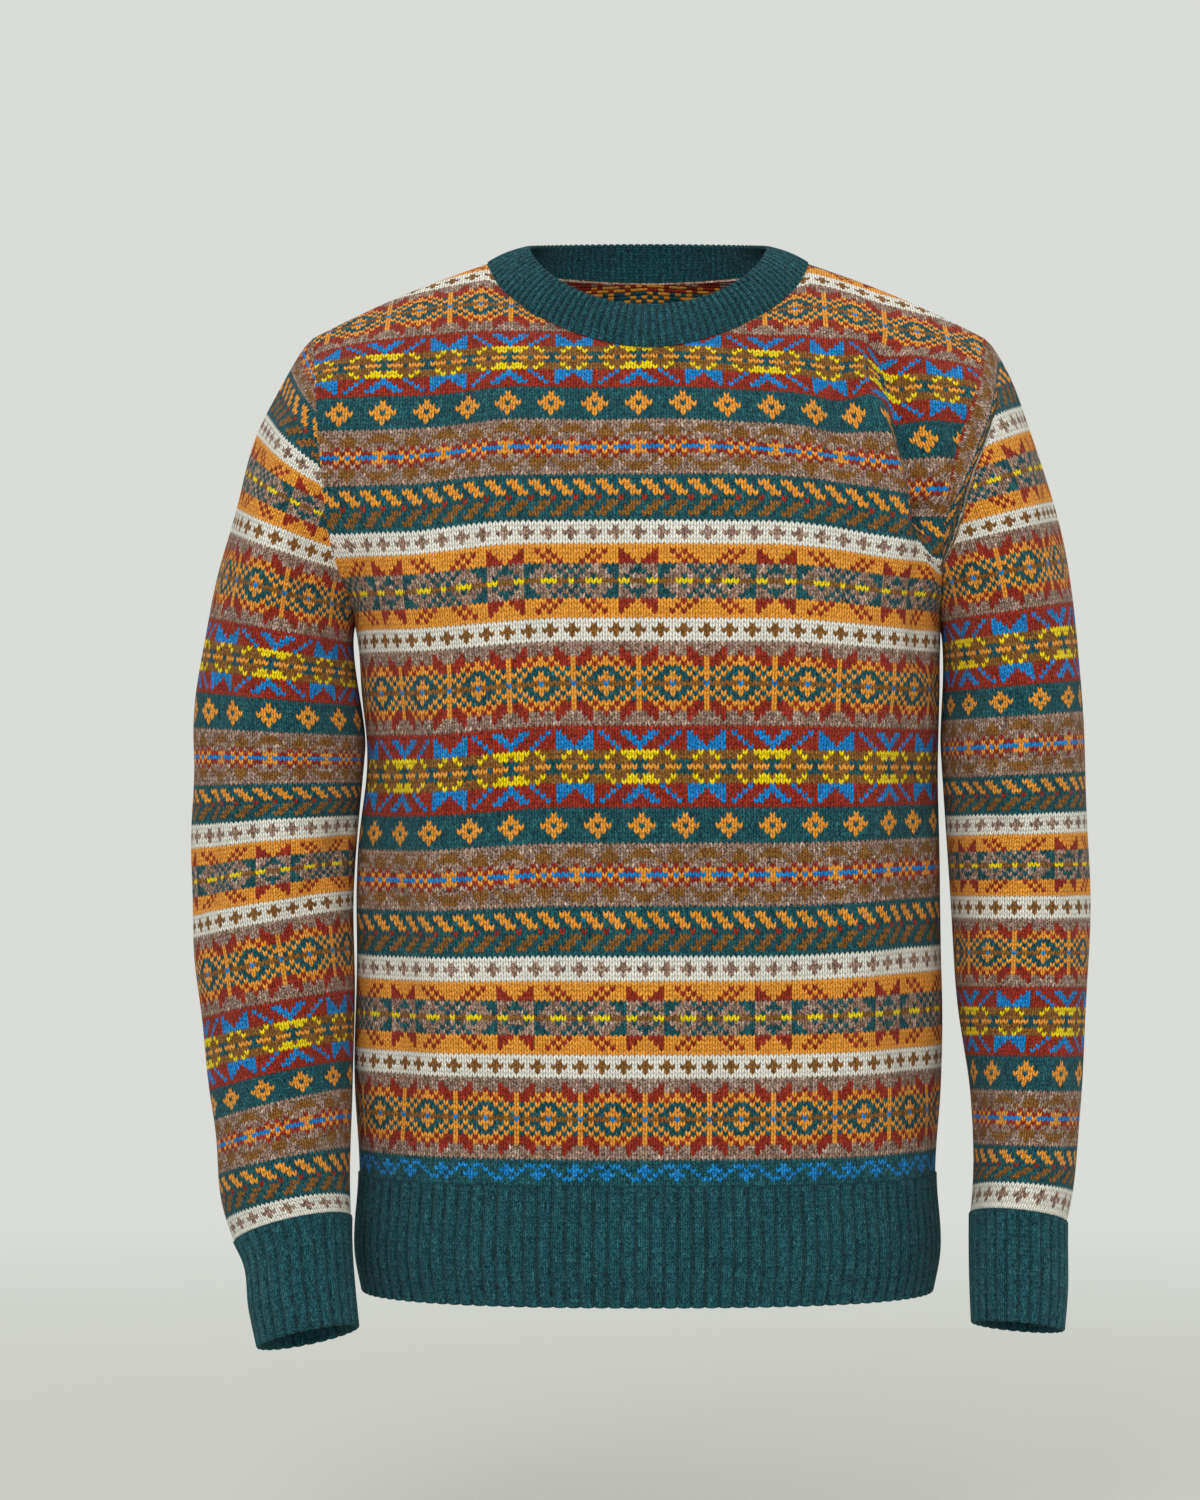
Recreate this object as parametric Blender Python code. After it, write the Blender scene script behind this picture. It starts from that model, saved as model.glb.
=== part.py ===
"""Fair isle jumper, worn shape with no wearer: nine sewn pieces, each one a knitted wall round the same hollow.

Lengths are in millimetres until link_wall() writes metres. X is to the right as seen from the front, so it is
the wearer's left. Y goes from front to back and Z is up. The origin is the middle of the neck opening, level
with the neck ends of the shoulder seams.

Each piece is a grid: columns run across it, and rows run from its lower edge to its upper one, or down a
sleeve. Neighbours share the points of their seam and stand SEAM_GAP apart there.
"""

import bpy
import numpy as np

MM = 0.001

# Driving dimensions
WALL = 2.2
RIB_WALL = 1.5  # in a groove of the ribbing
RIB_RAISED = 1.4
SEAM_GAP = 0.3
HEM_BOTTOM_Z = -676.0
HEM_FLARE_Z = -655.0
HEM_TOP_Z = -600.0
UNDERARM_Z = -236.0
SECTION_POWER = 2.4  # of the body's rounded oblong section
NECK_HALF_WIDTH = 105.0
NECK_FRONT_DROP = 63.0
NECK_BACK_DROP = 9.0
NECK_FRONT_Y = -80.0
NECK_BACK_Y = 50.0
NECK_POINT_Y = 10.0
NECK_CURVE_POWER = 1.65
NECK_SHARE = 0.5  # part of a panel's half width that ends at the neckline
NECK_DEPTH_POWER = 1.1  # how the neckline's depth falls off towards the neck points
YOKE_LEANS = (33, 68, 80)  # degrees back at the yoke's upper edge: in the middle, at the neck points, at the tips
YOKE_START = 0.95  # how far each yoke line keeps straight up, as a part of its own chord
PULL_FROM = 0.45  # part of the half width from which the yoke is drawn onto the armhole
SHOULDER_TIP_Z = -50.0
SHOULDER_TIP_Y = 4.0
SHOULDER_BULGE = 3.0
CAP_DROP = 6.0  # degrees below level at which the sleeve leaves the armhole in front and behind
CAP_DROP_OUTSIDE = 44.0  # more than that at the shoulder tip
CAP_DROP_UNDERARM = 62.0  # more than that at the underarm
CAP_SPREAD = 0.25  # how far it also leaves forwards and backwards
CAP_LEAVE = 0.75  # length of the cap's first and last slopes, as parts of the chord
CAP_ARRIVE = 0.75
SIDE_FADE = 0.12  # parts of a panel's width and of a piece's length over which the folds fade out
END_FADE = 0.1
SLEEVE_LENGTH = 570.0  # from the cap to the cuff, along the arm
SLEEVE_MM_PER_DEGREE = 1.0  # round the sleeve
HEM_RIBS = 56  # a panel
CUFF_RIBS = 26
NECK_RIBS = 112
NECK_OPENING_HALF_WIDTH = 79.0  # at the neckband's top edge
NECK_OPENING_FRONT_Y = -72.0
NECK_OPENING_BACK_Y = 44.0
NECK_OPENING_SIDE_Y = 4.0
NECK_OPENING_FRONT_Z = -36.0
NECK_OPENING_BACK_Z = 15.0
NECK_OPENING_SIDE_Z = 9.0
OPENING_DEPTH_POWER = 0.9  # how the opening's depth and height fall off from the middle to the sides
OPENING_HEIGHT_POWER = 1.3
NECKBAND_ROLL = 1.5  # how far its middle stands out from a flat band
ROLL_RISE = 0.9  # upward part of that direction for one part outwards

# Grid sizes, in cells
PANEL_COLUMNS = 28
SIDE_ROWS = 10  # below the underarm
YOKE_ROWS = 10  # above it
SLEEVE_CAP_ROWS = 9
SLEEVE_ROWS = 11
FINER = 4  # normals are taken from a grid this many times finer
PANEL_RIB_COLUMNS = 3  # of the hem and the cuffs, for each rib
NECK_RIB_COLUMNS = 2

# Body sections: height, half width on the viewer's left, on the right, depth in front, depth behind
BODY = np.array(
    [
        [-676, 187, 186, 113, 106],
        [-655, 191, 190, 116, 108],
        [-600, 189, 188, 114, 107],
        [-540, 192, 192, 115, 107],
        [-450, 190.5, 192, 114, 103],
        [-390, 190, 191, 116, 101],
        [-322, 184, 190, 122, 105],
        [-285, 187.5, 191, 126, 108],
        [-255, 189.5, 191.5, 127, 111],
        [-236, 193, 192, 127, 112],
    ],
    float,
)

# Front edge of the armhole, from the underarm to the shoulder tip:
# height, depth in front of the side, distance out on the viewer's left, on the right
ARMHOLE_FRONT = np.array(
    [
        [-236, 0, 193, 192],
        [-228, 26, 194, 191],
        [-190, 55, 206, 191],
        [-135, 62, 213, 197],
        [-88, 44, 217, 213],
        [-50, -4, 221, 222],
    ],
    float,
)
# The same behind, where depth is counted backwards
ARMHOLE_BACK = np.array(
    [
        [-236, 0, 193, 192],
        [-229, 28, 194, 193],
        [-190, 60, 200, 200],
        [-135, 68, 206, 207],
        [-88, 52, 214, 215],
        [-50, 4, 221, 222],
    ],
    float,
)

# Sleeve sections below the cap: height, centre out from the middle, centre forward, half width, half depth, and in
# degrees how far its front leans up and its outer side leans down
SLEEVE_VIEWERS_LEFT = np.array(
    [
        [-322, 242.3, 14, 55.2, 66, 0, 0],
        [-420, 246.4, 18, 51.9, 60, 4, 2],
        [-486, 242.4, 27, 49.2, 56, 8, 5],
        [-549, 238.8, 42, 44.8, 51, 12, 8],
        [-616, 233.5, 62.5, 39.0, 44.5, 15, 12],
        [-631.5, 230.2, 67.5, 36.5, 42, 15, 13],
    ],
    float,
)
SLEEVE_VIEWERS_RIGHT = np.array(
    [
        [-322, 239.7, 14, 46.2, 70, 0, 0],
        [-420, 243.6, 18, 44.0, 64, 4, 0],
        [-486, 244.3, 27, 41.0, 60, 8, 1],
        [-549, 245.8, 42, 34.8, 55, 10, 3],
        [-610, 241.4, 59.5, 30.7, 48.5, 12, 6],
        [-624.5, 238.8, 64.5, 29.8, 45, 12, 7],
    ],
    float,
)
# Cuff sections: distance along the arm, then as multiples of the sleeve's last section the width on the viewer's
# left, on the right, the depth and the tilt, and the drift inwards on the viewer's left, on the right
CUFF = np.array(
    [
        [0, 1.0, 1.0, 1.0, 1.0, 0, 0],
        [12, 0.92, 1.0, 0.96, 0.97, 3, 0.3],
        [45, 0.885, 0.99, 0.93, 0.88, 6.8, 0.7],
        [69, 0.85, 0.94, 0.92, 0.8, 10.8, 1.6],
    ],
    float,
)

# Folds of the panels: panel, from across, from height, to across, to height, half width, height (minus is a trough)
BODY_FOLDS = [
    ("front", 150, -62, 180, -172, 9, -8.0),
    ("front", 178, -168, 176, -262, 10, -5.0),
    ("front", 172, -70, 200, -160, 11, 3.5),
    ("front", -168, -345, -160, -560, 13, -4.5),
    ("front", -140, -300, -132, -520, 16, 2.5),
    ("front", 168, -300, 172, -575, 14, -4.5),
    ("front", 138, -340, 130, -560, 18, 2.5),
    ("front", -176, -245, -150, -330, 12, -3.5),
    ("back", 150, -120, 168, -300, 14, -5.0),
    ("back", -152, -130, -166, -310, 14, -5.0),
    ("back", -120, -330, -110, -570, 18, -4.0),
    ("back", 126, -360, 112, -580, 18, -4.0),
    ("back", -60, -420, 70, -440, 20, -3.5),
]

# Folds of the sleeves: viewer's side, from angle, from share of the length, to angle, to share, half width, height.
# The angle is 0 at the underarm, 90 in front, 180 outside and 270 behind
SLEEVE_FOLDS = [
    ("left", 128, 0.30, 140, 0.62, 9, -4.0),
    ("left", 60, 0.12, 100, 0.30, 11, -4.0),
    ("left", 95, 0.52, 130, 0.60, 12, -3.5),
    ("left", 250, 0.25, 215, 0.60, 13, -4.0),
    ("left", 30, 0.55, 80, 0.68, 12, -3.5),
    ("right", 40, 0.50, 95, 0.58, 11, -4.5),
    ("right", 65, 0.14, 110, 0.34, 12, -4.0),
    ("right", 120, 0.40, 100, 0.72, 13, -3.0),
    ("right", 255, 0.22, 220, 0.58, 13, -4.0),
    ("right", 280, 0.55, 235, 0.66, 12, -3.5),
]

TEAL = (0.014, 0.105, 0.112, 1)
KNIT = (0.300, 0.130, 0.055, 1)


def smooth(keys, values, at):
    """Values at the places at, on one smooth curve through a table: cubic pieces with centred slopes."""
    keys = np.asarray(keys, float)
    values = np.asarray(values, float)
    at = np.asarray(at, float)
    if keys[-1] < keys[0]:
        keys, values = keys[::-1], values[::-1]
    slopes = np.gradient(values, keys, axis=0)
    k = np.clip(np.searchsorted(keys, at, side="right") - 1, 0, len(keys) - 2)
    step = keys[k + 1] - keys[k]
    t = np.clip((at - keys[k]) / step, 0, 1)
    if values.ndim > 1:
        step, t = step[..., None], t[..., None]
    return cubic(values[k], slopes[k] * step, values[k + 1], slopes[k + 1] * step, t)


def cubic(start, start_slope, end, end_slope, t):
    """The cubic from start to end with the given slopes, at t from 0 to 1."""
    return (
        start * (1 + 2 * t) * (1 - t) ** 2
        + start_slope * t * (1 - t) ** 2
        + end * t * t * (3 - 2 * t)
        + end_slope * t * t * (t - 1)
    )


def lengths_along(line):
    """Distance of each point of a polyline from its start."""
    steps = np.linalg.norm(np.diff(line, axis=0), axis=1)
    return np.concatenate([[0], np.cumsum(steps)])


def at_shares(line, shares):
    """Points of a fine polyline at shares of its length, from 0 to 1."""
    along = lengths_along(line)
    return np.stack([np.interp(np.asarray(shares) * along[-1], along, line[:, k]) for k in range(3)], axis=1)


def unit(vectors):
    return vectors / np.maximum(np.linalg.norm(vectors, axis=-1, keepdims=True), 1e-12)


def body_row(z, face, shares):
    """One level of a panel: points at shares of the way from the middle, -1 to 1 at the side seams.

    The section is |x/width|^p + |y/depth|^p = 1 with p = SECTION_POWER, measured out by its length.
    """
    left, right, front, back = smooth(BODY[:, 0], BODY[:, 1:], z)
    depth = -front if face == "front" else back
    angle = np.linspace(0, np.pi / 2, 90)
    across = np.sin(angle) ** (2 / SECTION_POWER)
    along = np.cos(angle) ** (2 / SECTION_POWER)
    found = np.empty((len(shares), 3))
    for sign, half in ((-1, left), (1, right)):
        line = np.stack([sign * half * across, depth * along, np.full(len(angle), z)], axis=1)
        side = shares * sign >= 0
        found[side] = at_shares(line, np.abs(shares[side]))
    return found


def neckline(face, shares):
    """Points of a neckline at shares -1 to 1 of its half length: a super-ellipse in the front view."""
    drop = NECK_FRONT_DROP if face == "front" else NECK_BACK_DROP
    middle_y = NECK_FRONT_Y if face == "front" else NECK_BACK_Y
    angle = np.linspace(0, np.pi / 2, 90)
    across = np.sin(angle) ** (2 / NECK_CURVE_POWER)
    down = np.cos(angle) ** (2 / NECK_CURVE_POWER)
    depth = NECK_POINT_Y + (middle_y - NECK_POINT_Y) * np.cos(angle) ** NECK_DEPTH_POWER
    line = np.stack([NECK_HALF_WIDTH * across, depth, -drop * down], axis=1)
    points = at_shares(line, np.abs(shares))
    points[:, 0] *= np.sign(shares)
    return points


def shoulder_seam(signs, shares):
    """Points of the shoulder seams at shares 0 at the neck to 1 at the tip, on the sides that signs give."""
    tip_x = np.where(signs < 0, ARMHOLE_FRONT[-1, 2], ARMHOLE_FRONT[-1, 3])
    x = NECK_HALF_WIDTH + (tip_x - NECK_HALF_WIDTH) * shares
    y = NECK_POINT_Y + (SHOULDER_TIP_Y - NECK_POINT_Y) * shares
    z = SHOULDER_TIP_Z * shares + SHOULDER_BULGE * np.sin(np.pi * shares)
    return np.stack([signs * x, y, z], axis=1)


def armhole(face, sign, shares):
    """Points of one armhole edge at shares of its length, from the underarm to the shoulder tip."""
    table = ARMHOLE_FRONT if face == "front" else ARMHOLE_BACK
    out = table[:, 2] if sign < 0 else table[:, 3]
    facing = -1 if face == "front" else 1
    knots = np.stack([sign * out, facing * table[:, 1], table[:, 0]], axis=1)
    keys = lengths_along(knots)
    line = smooth(keys, knots, np.linspace(0, keys[-1], 120))
    return at_shares(line, shares)


def panel_surface(face, shares, side_rows, yoke_rows):
    """The middle surface of a panel, as (columns, rows, 3), with no folds.

    Below the underarm it follows the body sections. Above, each column is a cubic from the underarm's level to
    the shoulder seam or the neckline, and towards the edge it is drawn onto the armhole's own curve.
    """
    levels = np.linspace(HEM_TOP_Z, UNDERARM_Z, side_rows + 1)
    lower = np.stack([body_row(z, face, shares) for z in levels], axis=1)
    start = lower[:, -1]
    facing = -1 if face == "front" else 1

    out = np.abs(shares)
    on_neck = out < NECK_SHARE
    neck_share = np.clip(shares / NECK_SHARE, -1, 1)
    tip_share = np.clip((out - NECK_SHARE) / (1 - NECK_SHARE), 0, 1)
    end = np.where(on_neck[:, None], neckline(face, neck_share), shoulder_seam(np.sign(shares), tip_share))
    chord = np.linalg.norm(end - start, axis=1)[:, None]
    lean = np.radians(np.interp(out, [0, NECK_SHARE, 1], YOKE_LEANS))
    end_slope = np.stack([0 * out, -facing * np.sin(lean), np.cos(lean)], axis=1) * chord
    start_slope = np.array([0, 0, 1.0]) * chord * YOKE_START

    fine = np.linspace(0, 1, 80)[None, :, None]
    curves = cubic(start[:, None], start_slope[:, None], end[:, None], end_slope[:, None], fine)
    steps = np.linspace(0, 1, yoke_rows + 1)
    upper = np.stack([at_shares(curve, steps) for curve in curves])
    for sign, edge in ((-1, 0), (1, -1)):
        drawn = armhole(face, sign, steps) - upper[edge]
        weight = np.clip((out - PULL_FROM) / (1 - PULL_FROM), 0, 1) ** 2 * (shares * sign > 0)
        upper = upper + weight[:, None, None] * drawn
    return np.concatenate([lower, upper[:, 1:]], axis=1)


def grid_normals(grid, wraps=False):
    """Unit normals of a grid from its two directions, facing outwards where columns run left to right in front."""
    if wraps:
        across = np.roll(grid, -1, axis=0) - np.roll(grid, 1, axis=0)
    else:
        across = np.gradient(grid, axis=0)
    return unit(np.cross(across, np.gradient(grid, axis=1)))


def raised(flat_place, folds, panel):
    """Height of the folds at places (across, up): each is a soft ridge or trough round a straight line."""
    height = np.zeros(flat_place.shape[:-1])
    for name, x0, z0, x1, z1, half_width, size in folds:
        if name != panel:
            continue
        start = np.array([x0, z0], float)
        run = np.array([x1, z1], float) - start
        along = ((flat_place - start) @ run) / (run @ run)
        nearest = start + np.clip(along, 0, 1)[..., None] * run
        off = np.linalg.norm(flat_place - nearest, axis=-1)
        height += size * np.exp(-((off / half_width) ** 2))
    return height


def folded_panel(face, columns, side_rows, yoke_rows):
    """A panel with its folds, which fade out towards the shared edges, and its outward normals."""
    shares = np.linspace(-1, 1, columns + 1)
    grid = panel_surface(face, shares, side_rows, yoke_rows)
    outward = 1 if face == "front" else -1
    normals = grid_normals(grid) * outward
    height = raised(grid[..., [0, 2]], BODY_FOLDS, face)
    across, up = np.meshgrid(shares, np.linspace(0, 1, grid.shape[1]), indexing="ij")
    fade = np.clip((1 - np.abs(across)) / SIDE_FADE, 0, 1) * np.clip(np.minimum(up, 1 - up) / END_FADE, 0, 1)
    grid = grid + normals * (height * fade)[..., None]
    return grid, grid_normals(grid) * outward


def sleeve_ring(row, sign, angles):
    """One section of a sleeve: an oval at angles from the underarm by the front, whose plane leans forward and out."""
    z, out, forward, half_width, half_depth, lean, roll = row
    lean, roll = np.radians([lean, roll])
    inward = -np.cos(angles) * half_width
    front = np.sin(angles) * half_depth
    x = sign * (out + inward)
    y = -forward - front * np.cos(lean)
    return np.stack([x, y, z + front * np.sin(lean) - inward * np.tan(roll)], axis=1)


def sleeve_surface(side, ring, cap_rows, rows):
    """The middle surface of a sleeve, as (points round, rows, 3), from the armhole ring down to the cuff.

    The cap's lines are cubics that leave the armhole outwards and reach the first oval downwards.
    """
    sign = -1 if side == "left" else 1
    table = SLEEVE_VIEWERS_LEFT if side == "left" else SLEEVE_VIEWERS_RIGHT
    half = len(ring) // 2
    along = lengths_along(np.vstack([ring, ring[:1]]))
    angles = np.where(
        np.arange(len(ring)) < half,
        np.pi * along[:-1] / along[half],
        np.pi + np.pi * (along[:-1] - along[half]) / (along[-1] - along[half]),
    )
    keys = -table[:, 0]
    levels = np.linspace(keys[0], keys[-1], rows + 1)
    stations = np.column_stack([-levels, smooth(keys, table[:, 1:], levels)])
    lower = np.stack([sleeve_ring(row, sign, angles) for row in stations], axis=1)

    end = lower[:, 0]
    down = unit(lower[:, 1] - lower[:, 0])
    outside = (1 - np.cos(angles)) / 2
    drop = np.radians(CAP_DROP + CAP_DROP_OUTSIDE * outside + CAP_DROP_UNDERARM * (1 - outside) ** 4)[:, None]
    leave = np.column_stack([sign * np.cos(drop), -CAP_SPREAD * np.sin(angles), -np.sin(drop)])
    chord = np.linalg.norm(end - ring, axis=1)[:, None]
    steps = np.linspace(0, 1, 60)[None, :, None]
    leave = unit(leave) * chord * CAP_LEAVE
    arrive = down * chord * CAP_ARRIVE
    curves = cubic(ring[:, None], leave[:, None], end[:, None], arrive[:, None], steps)
    shares = np.linspace(0, 1, cap_rows + 1)
    cap = np.stack([at_shares(curve, shares) for curve in curves])
    grid = np.concatenate([cap, lower[:, 1:]], axis=1)

    outward = -sign
    normals = grid_normals(grid, wraps=True) * outward
    share = np.linspace(0, 1, grid.shape[1])
    round_mm = np.degrees(angles) * SLEEVE_MM_PER_DEGREE
    place = np.stack(np.meshgrid(round_mm, share * SLEEVE_LENGTH, indexing="ij"), axis=-1)
    unrolled = np.array([SLEEVE_MM_PER_DEGREE, SLEEVE_LENGTH])
    folds = [
        (name, *(unrolled * fold[:2]), *(unrolled * fold[2:4]), *fold[4:]) for name, *fold in SLEEVE_FOLDS
    ]
    height = raised(place, folds, side)
    fade = np.clip(np.minimum(share, 1 - share) / END_FADE, 0, 1)
    grid = grid + normals * (height * fade)[..., None]
    return grid, grid_normals(grid, wraps=True) * outward


def cuff_surface(side, ring):
    """The middle surface of a cuff: the sleeve's last ring carried on along the arm and drawn in."""
    sign = -1 if side == "left" else 1
    table = SLEEVE_VIEWERS_LEFT if side == "left" else SLEEVE_VIEWERS_RIGHT
    lean = np.radians(table[-1, 5])
    arm = np.array([0, -np.sin(lean), -np.cos(lean)])
    centre = np.array([sign * table[-1, 1], -table[-1, 2], table[-1, 0]])
    away = ring - centre
    rings = []
    for distance, left_width, right_width, depth, tilt, left_drift, right_drift in CUFF:
        width, drift = (left_width, left_drift) if side == "left" else (right_width, right_drift)
        scale = np.array([width, depth, tilt])
        rings.append(centre + away * scale + arm * distance - np.array([sign * drift, 0, 0]))
    return np.stack(rings, axis=1)


def neckband_surface(base, turn):
    """The middle surface of the neckband, from the neckline up: rings at shares of the way to its top edge."""
    front = np.clip(np.cos(turn), 0, 1)
    back = np.clip(-np.cos(turn), 0, 1)
    x = NECK_OPENING_HALF_WIDTH * np.sin(turn)
    y = (
        NECK_OPENING_SIDE_Y
        + (NECK_OPENING_FRONT_Y - NECK_OPENING_SIDE_Y) * front**OPENING_DEPTH_POWER
        + (NECK_OPENING_BACK_Y - NECK_OPENING_SIDE_Y) * back**OPENING_DEPTH_POWER
    )
    z = (
        NECK_OPENING_SIDE_Z
        + (NECK_OPENING_FRONT_Z - NECK_OPENING_SIDE_Z) * front**OPENING_HEIGHT_POWER
        + (NECK_OPENING_BACK_Z - NECK_OPENING_SIDE_Z) * back
    )
    top = np.stack([x, y, z], axis=1)
    outward = unit(np.stack([np.sin(turn), -np.cos(turn), np.full(len(turn), ROLL_RISE)], axis=1))
    middle = (base + top) / 2 + outward * NECKBAND_ROLL
    return np.stack([base, middle, top], axis=1)


def edge_shift(grid, normals, edge, wraps=False):
    """How far each point of an edge moves into its own piece, so that the seam stands open by SEAM_GAP."""
    line, inner, normal = {
        "low": (grid[:, 0], grid[:, 1], normals[:, 0]),
        "high": (grid[:, -1], grid[:, -2], normals[:, -1]),
        "first": (grid[0], grid[1], normals[0]),
        "last": (grid[-1], grid[-2], normals[-1]),
    }[edge]
    if wraps:
        tangent = np.roll(line, -1, axis=0) - np.roll(line, 1, axis=0)
    else:
        tangent = np.gradient(line, axis=0)
    across = unit(np.cross(unit(tangent), normal))
    towards = np.sign(np.sum(across * (inner - line), axis=1, keepdims=True))
    return across * towards * SEAM_GAP / 2


class Piece:
    """One sewn piece: the grid of its middle surface, its outward normals and its edges' shifts."""

    def __init__(self, name, grid, normals, outward, wraps=False, edges=()):
        self.name = name
        self.grid = grid
        self.normals = normals
        self.outward = outward
        self.wraps = wraps
        self.edges = edges

    def border(self):
        """Index arrays of the points on the piece's seams and edges."""
        mask = np.zeros(self.grid.shape[:2], bool)
        mask[:, [0, -1]] = True
        if not self.wraps:
            mask[[0, -1], :] = True
        return np.nonzero(mask)

    def shifts(self):
        total = np.zeros(self.grid.shape)
        for edge in self.edges:
            shift = edge_shift(self.grid, self.normals, edge, self.wraps)
            place = {"low": np.s_[:, 0], "high": np.s_[:, -1], "first": np.s_[0], "last": np.s_[-1]}[edge]
            total[place] += shift
        return total


def share_normals(pieces):
    """Gives the points that pieces share one normal, so that seam faces lie parallel.

    It is the mean of the panels' normal and the sleeve's, each a mean of its own.
    """
    sums = {}
    for piece in pieces:
        for i, j in zip(*piece.border()):
            kinds = sums.setdefault(point_key(piece.grid[i, j]), np.zeros((2, 3)))
            kinds[int(piece.wraps)] += piece.normals[i, j]
    for piece in pieces:
        for i, j in zip(*piece.border()):
            kinds = sums[point_key(piece.grid[i, j])]
            piece.normals[i, j] = unit(unit(kinds).sum(axis=0))


def point_key(point):
    """The same key for points that pieces share, to a hundredth of a millimetre."""
    return tuple(np.round(point * 100).astype(int))


def cut_quads(points, quads):
    """Two triangles for each quad, cut along its shorter diagonal, so that both sides of a seam are cut alike."""
    rising = np.linalg.norm(points[quads[:, 0]] - points[quads[:, 2]], axis=1)
    falling = np.linalg.norm(points[quads[:, 1]] - points[quads[:, 3]], axis=1)
    turned = np.where((falling < rising)[:, None], np.roll(quads, -1, axis=1), quads)
    return turned[:, [0, 1, 2]].tolist() + turned[:, [0, 2, 3]].tolist()


def skin_quads(grid, wraps):
    """Cells of one skin, whose points are numbered down the columns."""
    columns, rows = grid.shape[:2]
    i, j = np.meshgrid(np.arange(columns if wraps else columns - 1), np.arange(rows - 1), indexing="ij")
    i, j = i.ravel(), j.ravel()
    here, after = i * rows + j, (i + 1) % columns * rows + j
    return np.stack([here, after, after + 1, here + 1], axis=1)


def rim_faces(points, columns, rows, wraps, row, parts, first):
    """Faces that close a wall along one of its rows: parts outer stretches meet one inner stretch."""
    inner_columns = columns // parts if wraps else (columns - 1) // parts + 1
    faces = []
    for k in range(inner_columns if wraps else inner_columns - 1):
        outer = [(k * parts + step) % columns * rows + row for step in range(parts + 1)]
        inner = [first + k * rows + row, first + (k + 1) % inner_columns * rows + row]
        face = outer[::-1] + inner
        faces.append(face if row == 0 else face[::-1])
    return faces if parts > 1 else cut_quads(points, np.array(faces))


def side_quads(column, inner_column, rows, first):
    """Quads that close a wall along one of its side edges."""
    up = np.arange(rows - 1)
    outer = column * rows + up
    inner = first + inner_column * rows + up
    quads = np.stack([outer + 1, outer, inner, inner + 1], axis=1)
    return quads[:, ::-1] if column == 0 else quads


def link_wall(piece, outer, inner, parts, colour, collection):
    """Adds one closed wall, in metres, between an outer grid and an inner one with parts times fewer columns."""
    columns, rows = outer.shape[:2]
    first = columns * rows
    points = np.concatenate([outer.reshape(-1, 3), inner.reshape(-1, 3)])
    faces = cut_quads(points, skin_quads(outer, piece.wraps))
    faces += cut_quads(points, skin_quads(inner, piece.wraps)[:, ::-1] + first)
    for row in (0, rows - 1):
        faces += rim_faces(points, columns, rows, piece.wraps, row, parts, first)
    if not piece.wraps:
        faces += cut_quads(points, side_quads(0, 0, rows, first))
        faces += cut_quads(points, side_quads(columns - 1, len(inner) - 1, rows, first))
    if piece.outward < 0:
        faces = [face[::-1] for face in faces]
    mesh = bpy.data.meshes.new(piece.name)
    mesh.from_pydata((points * MM).tolist(), [], faces)
    mesh.shade_smooth()
    mesh.set_sharp_from_angle(angle=np.radians(50))
    material = bpy.data.materials.new(piece.name)
    material.use_nodes = True
    shader = material.node_tree.nodes["Principled BSDF"]
    shader.inputs["Base Color"].default_value = colour
    shader.inputs["Roughness"].default_value = 0.9
    mesh.materials.append(material)
    collection.objects.link(bpy.data.objects.new(piece.name, mesh))


def link_plain(piece, collection):
    """A plain knitted wall, half of WALL to each side of the middle surface."""
    middle = piece.grid + piece.shifts()
    half = piece.normals * WALL / 2
    link_wall(piece, middle + half, middle - half, 1, KNIT, collection)


def link_ribbed(piece, columns_per_rib, parts, collection):
    """A ribbed wall over a plain inside: every column but the first of each rib stands up by RIB_RAISED."""
    middle = piece.grid + piece.shifts()
    in_groove = np.arange(len(middle)) % columns_per_rib == 0
    height = RIB_WALL / 2 + np.where(in_groove, 0.0, RIB_RAISED)
    outer = middle + piece.normals * height[:, None, None]
    inner = (middle - piece.normals * RIB_WALL / 2)[::parts]
    link_wall(piece, outer, inner, parts, TEAL, collection)


def at_columns(line, places, wraps=False):
    """Values of a coarse edge at fractional column places, on the straight stretches between its points."""
    ends = np.vstack([line, line[:1]]) if wraps else line
    known = np.arange(len(ends))
    return np.stack([np.interp(places, known, ends[:, k]) for k in range(ends.shape[1])], axis=1)


def make_hem(panel, face):
    """One half of the ribbed hem: body sections down from the panel's own lower edge."""
    parts = HEM_RIBS * PANEL_RIB_COLUMNS // PANEL_COLUMNS
    places = np.arange(PANEL_COLUMNS * parts + 1) / parts
    shares = places / PANEL_COLUMNS * 2 - 1
    rows = [body_row(z, face, shares) for z in (HEM_BOTTOM_Z, HEM_FLARE_Z)]
    grid = np.stack(rows + [at_columns(panel.grid[:, 0], places)], axis=1)
    normals = grid_normals(grid) * panel.outward
    normals[:, -1] = unit(at_columns(panel.normals[:, 0], places))
    normals[[0, -1]] = unit(normals[[0, -1]] * np.array([1.0, 0, 0]))
    return Piece("hem_rib_" + face, grid, normals, panel.outward, edges=("high", "first", "last")), parts


def make_sleeve(side, name):
    """A sleeve, from the armhole edges of both panels down to its cuff."""
    sign = -1 if side == "left" else 1
    shares = np.linspace(0, 1, FINER * YOKE_ROWS + 1)
    rise = armhole("front", sign, shares)
    fall = armhole("back", sign, shares)[::-1]
    ring = np.concatenate([rise, fall[1:-1]])
    grid, normals = sleeve_surface(side, ring, FINER * SLEEVE_CAP_ROWS, FINER * SLEEVE_ROWS)
    return Piece(name, grid[::FINER, ::FINER], normals[::FINER, ::FINER], -sign, wraps=True, edges=("low", "high"))


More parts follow.
